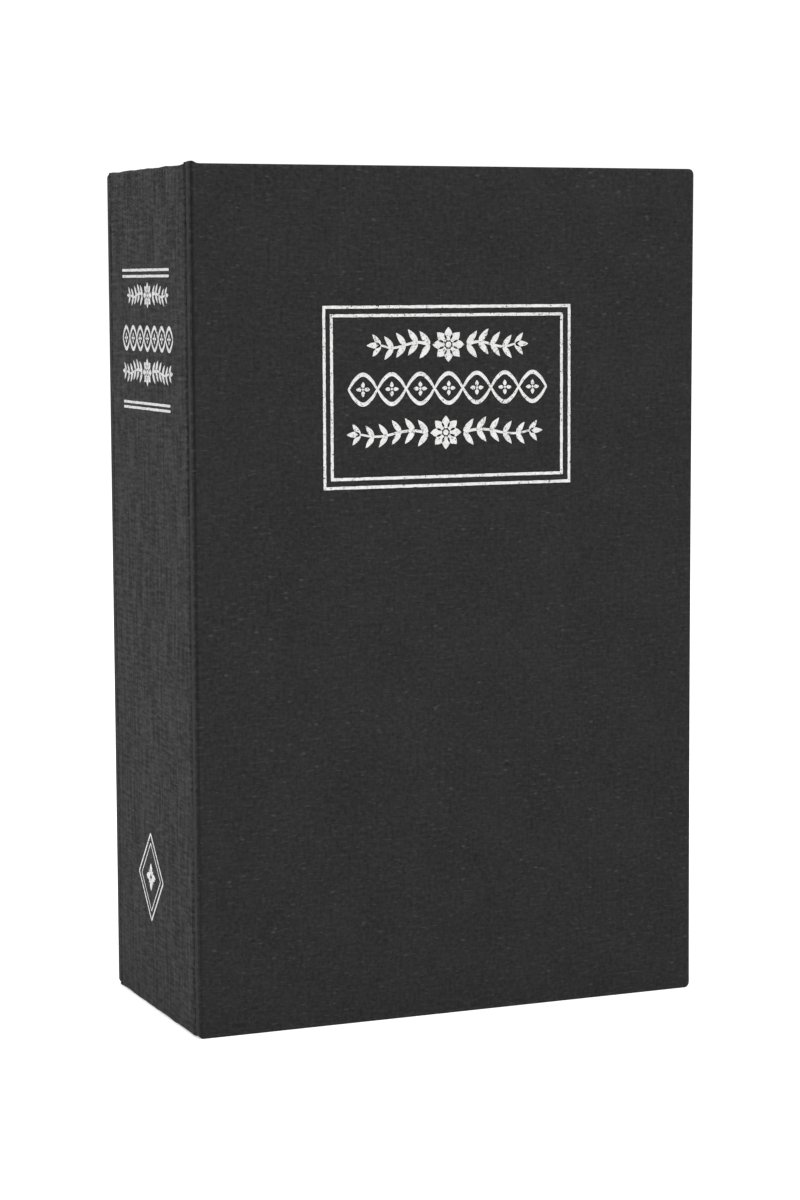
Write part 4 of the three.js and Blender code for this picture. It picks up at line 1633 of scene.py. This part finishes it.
@dataclass
class SteelBox:
    """The pressed steel tray and the lid, both powder-coated."""

    sheet: float = 0.8
    corner: float = 3
    floor_round: float = 1.6
    flange_round: float = 0.6
    across: Span = (-40.9, 41.3)
    along: Span = (16.2, 163.8)
    mouth_corner: float = 2
    edge: float = 0.2

    def build(self) -> None:
        """Make the tray and the lid."""
        coat = PowderCoat().material("black powder coat")
        settle(self.tray(coat), Body.BLOCK, Slot.BLACK_STEEL, "steel_tray")
        lid = softened("lid_plate", "lid_panel", coat, self.edge)
        settle(lid, Body.LID, Slot.BLACK_STEEL, "lid_plate")

    def tray(self, material: Material) -> Piece:
        """Press the tray: a round-cornered shell whose flange turns in round its mouth.

        Args:
            material: the powder coat.

        Returns:
            The piece.
        """
        low, high = box_mm("steel_tray")
        shell = Form()
        shell.plate(low, high, self.corner, 8)
        shell.round(shell.edges(lambda p: p.y > high.y - EPS), self.floor_round, 5)
        shell.round(shell.edges(lambda p: p.y < low.y + EPS), self.flange_round, 3)
        piece = shell.finish("tray_shell", material)
        inset = Vector((self.sheet,) * 3)
        room = Form()
        room.plate(low + inset, high - inset, self.corner - self.sheet, 8)
        floor = room.edges(lambda p: p.y > high.y - self.sheet - EPS)
        room.round(floor, self.floor_round - self.sheet / 2, 5)
        combine(piece, room.finish("room", material))
        mouth = Form()
        ends = zip(self.across, (low.y - 1, low.y + 2 * self.sheet), self.along)
        mouth.plate(*ends, self.mouth_corner, 6)
        combine(piece, mouth.finish("mouth", material))
        bevelled(piece, self.edge)
        return piece


# The hinge


@dataclass
class PianoHinge:
    """A continuous hinge: knuckles rolled round a pin, two leaves, and domed rivets."""

    line: Span = (-44.6, -21.75)
    knuckles: int = 15
    gap: float = 0.4
    radius: float = 1.7
    bore: float = 0.95
    edge: float = 0.15
    pin: float = 0.8
    pin_end: float = 0.35
    tray_leaf: Area = ((-51.4, -46.7), (-20.55, -19.95))
    tray_neck: Span = (-47.7, -44.6)
    lid_leaf: Area = ((-42.5, -36.0), (-21.65, -21.05))
    lid_neck: Span = (-43.3, -41.5)
    rivet_head: Span = (1.6, 0.7)
    shank: float = 1
    set_end: Spans = ((1.3, 0.5), (1.25, 0.15), (1.0, 0))
    steps: int = 24

    def build(self) -> None:
        """Make both leaves, the pin and the rivets."""
        steel = HINGE_STEEL.material("hinge steel")
        tray = self.leaf("tray_hinge_leaf", "hinge_leaf_on_tray", 0, self.tray_leaf, self.tray_neck, steel)
        settle(tray, Body.BLOCK, Slot.HINGE_STEEL, "tray_hinge_leaf")
        lid = self.leaf("lid_hinge_leaf", "hinge_leaf_on_lid", 1, self.lid_leaf, self.lid_neck, steel)
        settle(lid, Body.LID, Slot.HINGE_STEEL, "lid_hinge_leaf")
        settle(self.rod(steel), Body.BLOCK, Slot.HINGE_STEEL, "hinge_pin")
        for side, body in (("tray", Body.BLOCK), ("lid", Body.LID)):
            nodes = [f"{side}_rivet_{i}" for i in range(1, 6)]
            settle(self.rivets(f"{side}_rivets", nodes, steel), body, Slot.HINGE_STEEL, *nodes)

    def leaf(self, node: str, name: str, first: int, sheet: Area, neck: Span, material: Material) -> Piece:
        """Make a leaf with every other knuckle.

        Args:
            node: the CAD node that it replaces; not used.
            name: the piece's name.
            first: the number of its first knuckle.
            sheet: the flat part's span along X and along Y.
            neck: the necks' span along X, from the sheet into the knuckles' walls.
            material: the steel.

        Returns:
            The piece.
        """
        low, high = box_mm("hinge_pin")
        pitch = (high.z - low.z) / self.knuckles
        (x0, x1), (y0, y1) = sheet
        flat, barrels = Form(), Form()
        flat.block((x0, y0, low.z), (x1, y1, high.z))
        for i in range(first, self.knuckles, 2):
            start = low.z + i * pitch + self.gap / 2
            end = start + pitch - self.gap
            flat.block((neck[0], y0, start), (neck[1], y1, end))
            profile = rod_profile(self.radius, start, end, self.edge, self.bore)
            barrels.turn(profile, (*self.line, 0), (0, 0, 1), self.steps, ring=True)
        piece = flat.finish(name, material)
        combine(piece, barrels.finish("barrels", material), "UNION")
        return piece

    def rod(self, material: Material) -> Piece:
        """Turn the hinge's pin, with chamfered ends.

        Args:
            material: the steel.

        Returns:
            The piece.
        """
        low, high = box_mm("hinge_pin")
        profile = rod_profile(self.pin, low.z, high.z, self.pin * self.pin_end)
        form = Form()
        form.turn(profile, (*self.line, 0), (0, 0, 1), self.steps)
        return form.finish("hinge_rod", material)

    def rivets(self, name: str, nodes: list[str], material: Material) -> Piece:
        """Turn a row of rivets, domed in front and set behind.

        Args:
            name: the piece's name.
            nodes: the CAD nodes that they replace.
            material: the steel.

        Returns:
            The piece.
        """
        radius, height = self.rivet_head
        arc = [math.radians(a) for a in range(0, 91, 15)]
        form = Form()
        for node in nodes:
            low, high, foot = round_box(node)
            face = low.y + height
            dome = [(radius * math.sin(a), face - height * math.cos(a)) for a in arc]
            tail = [(wide, high.y - up) for wide, up in self.set_end]
            profile = [*dome, (self.shank, face), (self.shank, tail[0][1]), *tail, (0, high.y)]
            form.turn(profile, foot, (0, 1, 0), self.steps)
        return form.finish(name, material)


# The lock


@dataclass
class CombinationLock:
    """Three numbered dials on a spindle in a case, a bezel on the lid, and the bolt with its thumb button."""

    spindle: Span = (-16.75, 90)
    spindle_radius: float = 1.25
    spindle_end: float = 0.25
    dial_starts: tuple[float, ...] = (6.8, 15.4, 24.0)
    dial_width: float = 3.6
    dial_radius: float = 7.5
    dial_flat: float = 7.244
    digits: int = 10
    digit_height: float = 2.9
    digit_share: float = 0.7
    digit_proud: float = 0.03
    clearance: float = 0.4
    window_half: float = 5.33
    slot: Area = ((33.8, 39.7), (88.1, 91.9))
    bezel_foot: float = -21.05
    bezel_corner: float = 3
    bezel_round: float = 0.5
    bezel_edge: float = 0.14
    dial_edge: float = 0.12
    hollow_steps: int = 64
    post_sunk: float = 0.6
    post_radius: float = 2
    post_foot: float = -20.05
    screw_radius: float = 1
    screw_tip: float = 0.2
    screw_head: Span = (2, 1.4)
    screw_shoulder: Spans = ((1, 0), (1, 0.45), (0.95, 0.7), (0.82, 0.88))
    screw_crown: Span = (0.6, 0.03)
    screw_edge: float = 0.05
    screw_steps: int = 28
    screw_slot: Span = (0.5, 0.6)
    mark: Span = (1.1, 0.34)
    mark_gap: float = 0.45
    mark_proud: float = 0.015
    mark_sunk: float = 0.05
    seed: int = 31

    def build(self) -> None:
        """Make the lock's pieces."""
        nickel = SATIN_NICKEL.material("satin nickel")
        zinc = LOCK_ZINC.material("cast zinc")
        bright = LOCK_STEEL.material("bright steel")
        plastic = DialPlastic().material("dial plastic")
        paint = DigitPaint().material("digit paint")
        black = DialPlastic().material("mark paint")
        settle(self.bezel(nickel), Body.LID, Slot.LOCK_CHROME, "lock_bezel")
        settle(self.marks(black), Body.LID, None)
        settle(self.rod(bright), Body.LID, Slot.LOCK_STEEL, "dial_spindle")
        for node, name, material, slot, width, body in (
            ("lock_case", "lock_housing", zinc, Slot.LOCK_ZINC, 0.25, Body.LID),
            ("lock_base_plate", "lock_cover_plate", zinc, Slot.LOCK_ZINC, 0.15, Body.LID),
            ("detent_spring", "detent_leaf", bright, Slot.LOCK_STEEL, 0.06, Body.LID),
            ("bolt_plate", "bolt_bar", zinc, Slot.LOCK_ZINC, 0.15, Body.BOLT),
            ("thumb_button", "thumb_slide", nickel, Slot.LOCK_CHROME, 0.16, Body.BOLT),
        ):
            settle(softened(node, name, material, width), body, slot, node)
        dice = random.Random(self.seed)
        for name, count in (("lock_screw", 4), ("base_screw", 2)):
            nodes = [f"{name}_{i}" for i in range(1, count + 1)]
            settle(self.screws(f"{name}s", nodes, dice, zinc), Body.LID, Slot.LOCK_ZINC, *nodes)
        for i, body in enumerate((Body.DIAL_1, Body.DIAL_2, Body.DIAL_3)):
            node = f"dial_{i + 1}"
            wheel = softened(node, f"{node}_wheel", plastic, self.dial_edge)
            settle(wheel, body, Slot.DIAL_PLASTIC, node)
            settle(self.numbers(f"{node}_digits", self.dial_starts[i], paint), body, None)

    def bezel(self, material: Material) -> Piece:
        """Make the bezel, with a window for each dial, a slot for the button and a post for each screw.

        Args:
            material: the nickel.

        Returns:
            The piece.
        """
        low, high = box_mm("lock_bezel")
        form = Form()
        form.plate(low, (high.x, self.bezel_foot, high.z), self.bezel_corner, 8)
        form.round(form.edges(lambda p: p.y < low.y + EPS), self.bezel_round, 4)
        piece = form.finish("bezel_plate", material)
        posts, windows, hollows = Form(), Form(), Form()
        post = self.cylinder(self.post_radius, low.y + self.post_sunk, self.post_foot)
        for i in range(1, 5):
            posts.turn(post, round_box(f"lock_screw_{i}")[2], (0, 1, 0))
        y, z = self.spindle
        wide = self.dial_radius + self.clearance
        for start in self.dial_starts:
            from_x, to_x = start - self.clearance, start + self.dial_width + self.clearance
            below, above = z - self.window_half, z + self.window_half
            windows.block((from_x, low.y - 1, below), (to_x, self.post_foot, above))
            hollows.turn(self.cylinder(wide, from_x, to_x), (0, y, z), (1, 0, 0), self.hollow_steps)
        (x0, x1), (z0, z1) = self.slot
        windows.block((x0, low.y - 1, z0), (x1, self.post_foot, z1))
        combine(piece, posts.finish("posts", material), "UNION")
        combine(piece, windows.finish("windows", material))
        combine(piece, hollows.finish("hollows", material))
        bevelled(piece, self.bezel_edge)
        return piece

    @staticmethod
    def cylinder(radius: float, start: float, end: float) -> list[Span]:
        """Give the profile of a cylinder."""
        return [(0, start), (radius, start), (radius, end), (0, end)]

    def marks(self, material: Material) -> Piece:
        """Print an index mark on each side of every window.

        Args:
            material: the paint.

        Returns:
            The piece.
        """
        low, _ = box_mm("lock_bezel")
        long, thick = self.mark
        z = self.spindle[1]
        form = Form()
        for start in self.dial_starts:
            left = start - self.clearance - self.mark_gap - long
            right = start + self.dial_width + self.clearance + self.mark_gap
            for x in (left, right):
                near = (x, low.y - self.mark_proud, z - thick / 2)
                form.block(near, (x + long, low.y + self.mark_sunk, z + thick / 2))
        return form.finish("index_marks", material)

    def rod(self, material: Material) -> Piece:
        """Turn the spindle, with chamfered ends.

        Args:
            material: the steel.

        Returns:
            The piece.
        """
        low, high = box_mm("dial_spindle")
        profile = rod_profile(self.spindle_radius, low.x, high.x, self.spindle_end)
        form = Form()
        form.turn(profile, (0, *self.spindle), (1, 0, 0))
        return form.finish("dial_axle", material)

    def screws(self, name: str, nodes: list[str], dice: random.Random, material: Material) -> Piece:
        """Turn slotted pan-headed screws, each stopped at its own angle.

        Args:
            name: the piece's name.
            nodes: the CAD nodes that they replace.
            dice: the source of chance.
            material: the zinc plate.

        Returns:
            The piece.
        """
        radius, height = self.screw_head
        width, depth = self.screw_slot
        crown, drop = self.screw_crown
        heads, slots = Form(), Form()
        for node in nodes:
            low, high, foot = round_box(node)
            face = high.y - height
            profile = [
                (0, low.y), (self.screw_radius - self.screw_tip, low.y),
                (self.screw_radius, low.y + self.screw_tip), (self.screw_radius, face),
                *[(radius * wide, face + height * up) for wide, up in self.screw_shoulder],
                (radius * crown, high.y - drop), (0, high.y),
            ]
            heads.turn(profile, foot, (0, 1, 0), self.screw_steps)
            place = Matrix.Translation(foot) @ Matrix.Rotation(dice.uniform(0, math.pi), 4, "Y")
            near, far = (-radius - 1, high.y - depth, -width / 2), (radius + 1, high.y + 1, width / 2)
            bmesh.ops.transform(slots.mesh, matrix=place, verts=slots.block(near, far))
        piece = heads.finish(name, material)
        combine(piece, slots.finish("slots", material))
        bevelled(piece, self.screw_edge, 1)
        return piece

    def numbers(self, name: str, start: float, material: Material) -> Piece:
        """Set a dial's digits on its flats.

        Args:
            name: the piece's name.
            start: where the dial's wheel starts, along X.
            material: the paint.

        Returns:
            The piece.
        """
        y, z = self.spindle
        form = Form()
        for i in range(self.digits):
            text = bpy.data.curves.new("digit", "FONT")
            text.body = str(i)
            text.size = self.digit_height / self.digit_share
            text.align_x, text.align_y = "CENTER", "CENTER"
            text.extrude = self.digit_proud
            text.resolution_u = 4
            drawn = solid(text)
            stand = Matrix.Rotation(math.radians(90), 4, "X")
            lift = Matrix.Translation((0, -self.dial_flat, 0))
            roll = Matrix.Rotation(math.tau * i / self.digits, 4, "X")
            place = Matrix.Translation((start + self.dial_width / 2, y, z))
            drawn.transform(place @ roll @ lift @ stand)
            form.add(drawn)
        bmesh.ops.remove_doubles(form.mesh, verts=form.mesh.verts, dist=EPS)
        return form.finish(name, material)


# The studio


@dataclass
class Studio:
    """A pale floor, soft light, and the camera."""

    camera_at: Point = (-251.752, -600.894, 155.715)
    yaw: float = 22.719
    pitch: float = 6.071
    roll: float = 0.269
    lens: float = 89.28
    sensor: float = 36
    clip: Span = (0.01, 100)
    floor_reach: float = 30000
    floor_colour: Colour = (0.93, 0.93, 0.93)
    floor_glow: float = 0.2
    sky_strength: float = 1.08

    def build(self) -> None:
        """Make the floor, the lights and the camera."""
        self.floor()
        self.sky()
        self.softbox("side softbox", at=(-900, -250, 420), aim=(0, 0, 90), size=900, power=6.0)
        self.softbox("top softbox", at=(150, -500, 1300), aim=(0, 0, 60), size=1200, power=9.0)
        self.camera()

    def floor(self) -> None:
        """Make the floor, wide enough to reach the horizon."""
        paint = Paint("studio floor")
        smudge = paint.noise(paint.place(), 0.01, 3)
        colour = paint.tint(self.floor_colour, 0.97 + 0.04 * smudge)
        glow = {"Emission_Color": WHITE, "Emission_Strength": self.floor_glow}
        material = paint.surface(colour, 0.85, Specular_IOR_Level=0.2, **glow)
        form = Form()
        bmesh.ops.create_grid(form.mesh, x_segments=4, y_segments=4, size=self.floor_reach)
        floor = form.finish("studio_floor", material)

    def sky(self) -> None:
        """Light the room evenly, in white."""
        world = bpy.data.worlds.new("studio")
        world.use_nodes = True
        background = world.node_tree.nodes["Background"]
        background.inputs["Color"].default_value = WHITE
        background.inputs["Strength"].default_value = self.sky_strength
        bpy.context.scene.world = world

    @staticmethod
    def softbox(name: str, at: Point, aim: Point, size: float, power: float) -> None:
        """Add a square soft light.

        Args:
            name: what it is called.
            at: where it is.
            aim: what it is turned to.
            size: its side.
            power: in watts.
        """
        light = bpy.data.lights.new(name, "AREA")
        light.shape = "SQUARE"
        light.size = size * MM
        light.energy = power
        lamp = bpy.data.objects.new(name, light)
        place = Vector(at) * MM
        lamp.location = place
        lamp.rotation_euler = (Vector(aim) * MM - place).to_track_quat("-Z", "Y").to_euler()
        bpy.context.scene.collection.objects.link(lamp)

    def camera(self) -> None:
        """Make the camera at the photograph's angle."""
        lens = bpy.data.cameras.new("camera")
        lens.lens = self.lens
        lens.sensor_width = self.sensor
        lens.sensor_fit = "AUTO"
        lens.clip_start, lens.clip_end = self.clip
        camera = bpy.data.objects.new("camera", lens)
        turn = (
            Matrix.Rotation(math.radians(-self.yaw), 4, "Z")
            @ Matrix.Rotation(math.radians(90 - self.pitch), 4, "X")
            @ Matrix.Rotation(math.radians(-self.roll), 4, "Z")
        )
        camera.matrix_world = Matrix.Translation(Vector(self.camera_at) * MM) @ turn
        scene = bpy.context.scene
        scene.collection.objects.link(camera)
        scene.camera = camera
        scene.view_settings.view_transform = "Standard"


def main() -> None:
    """Build the book safe and the studio."""
    Studio().build()
    Binding().build()
    FoilStamping().build()
    PageEdges().build()
    SteelBox().build()
    PianoHinge().build()
    CombinationLock().build()


if __name__ == "__main__":
    main()
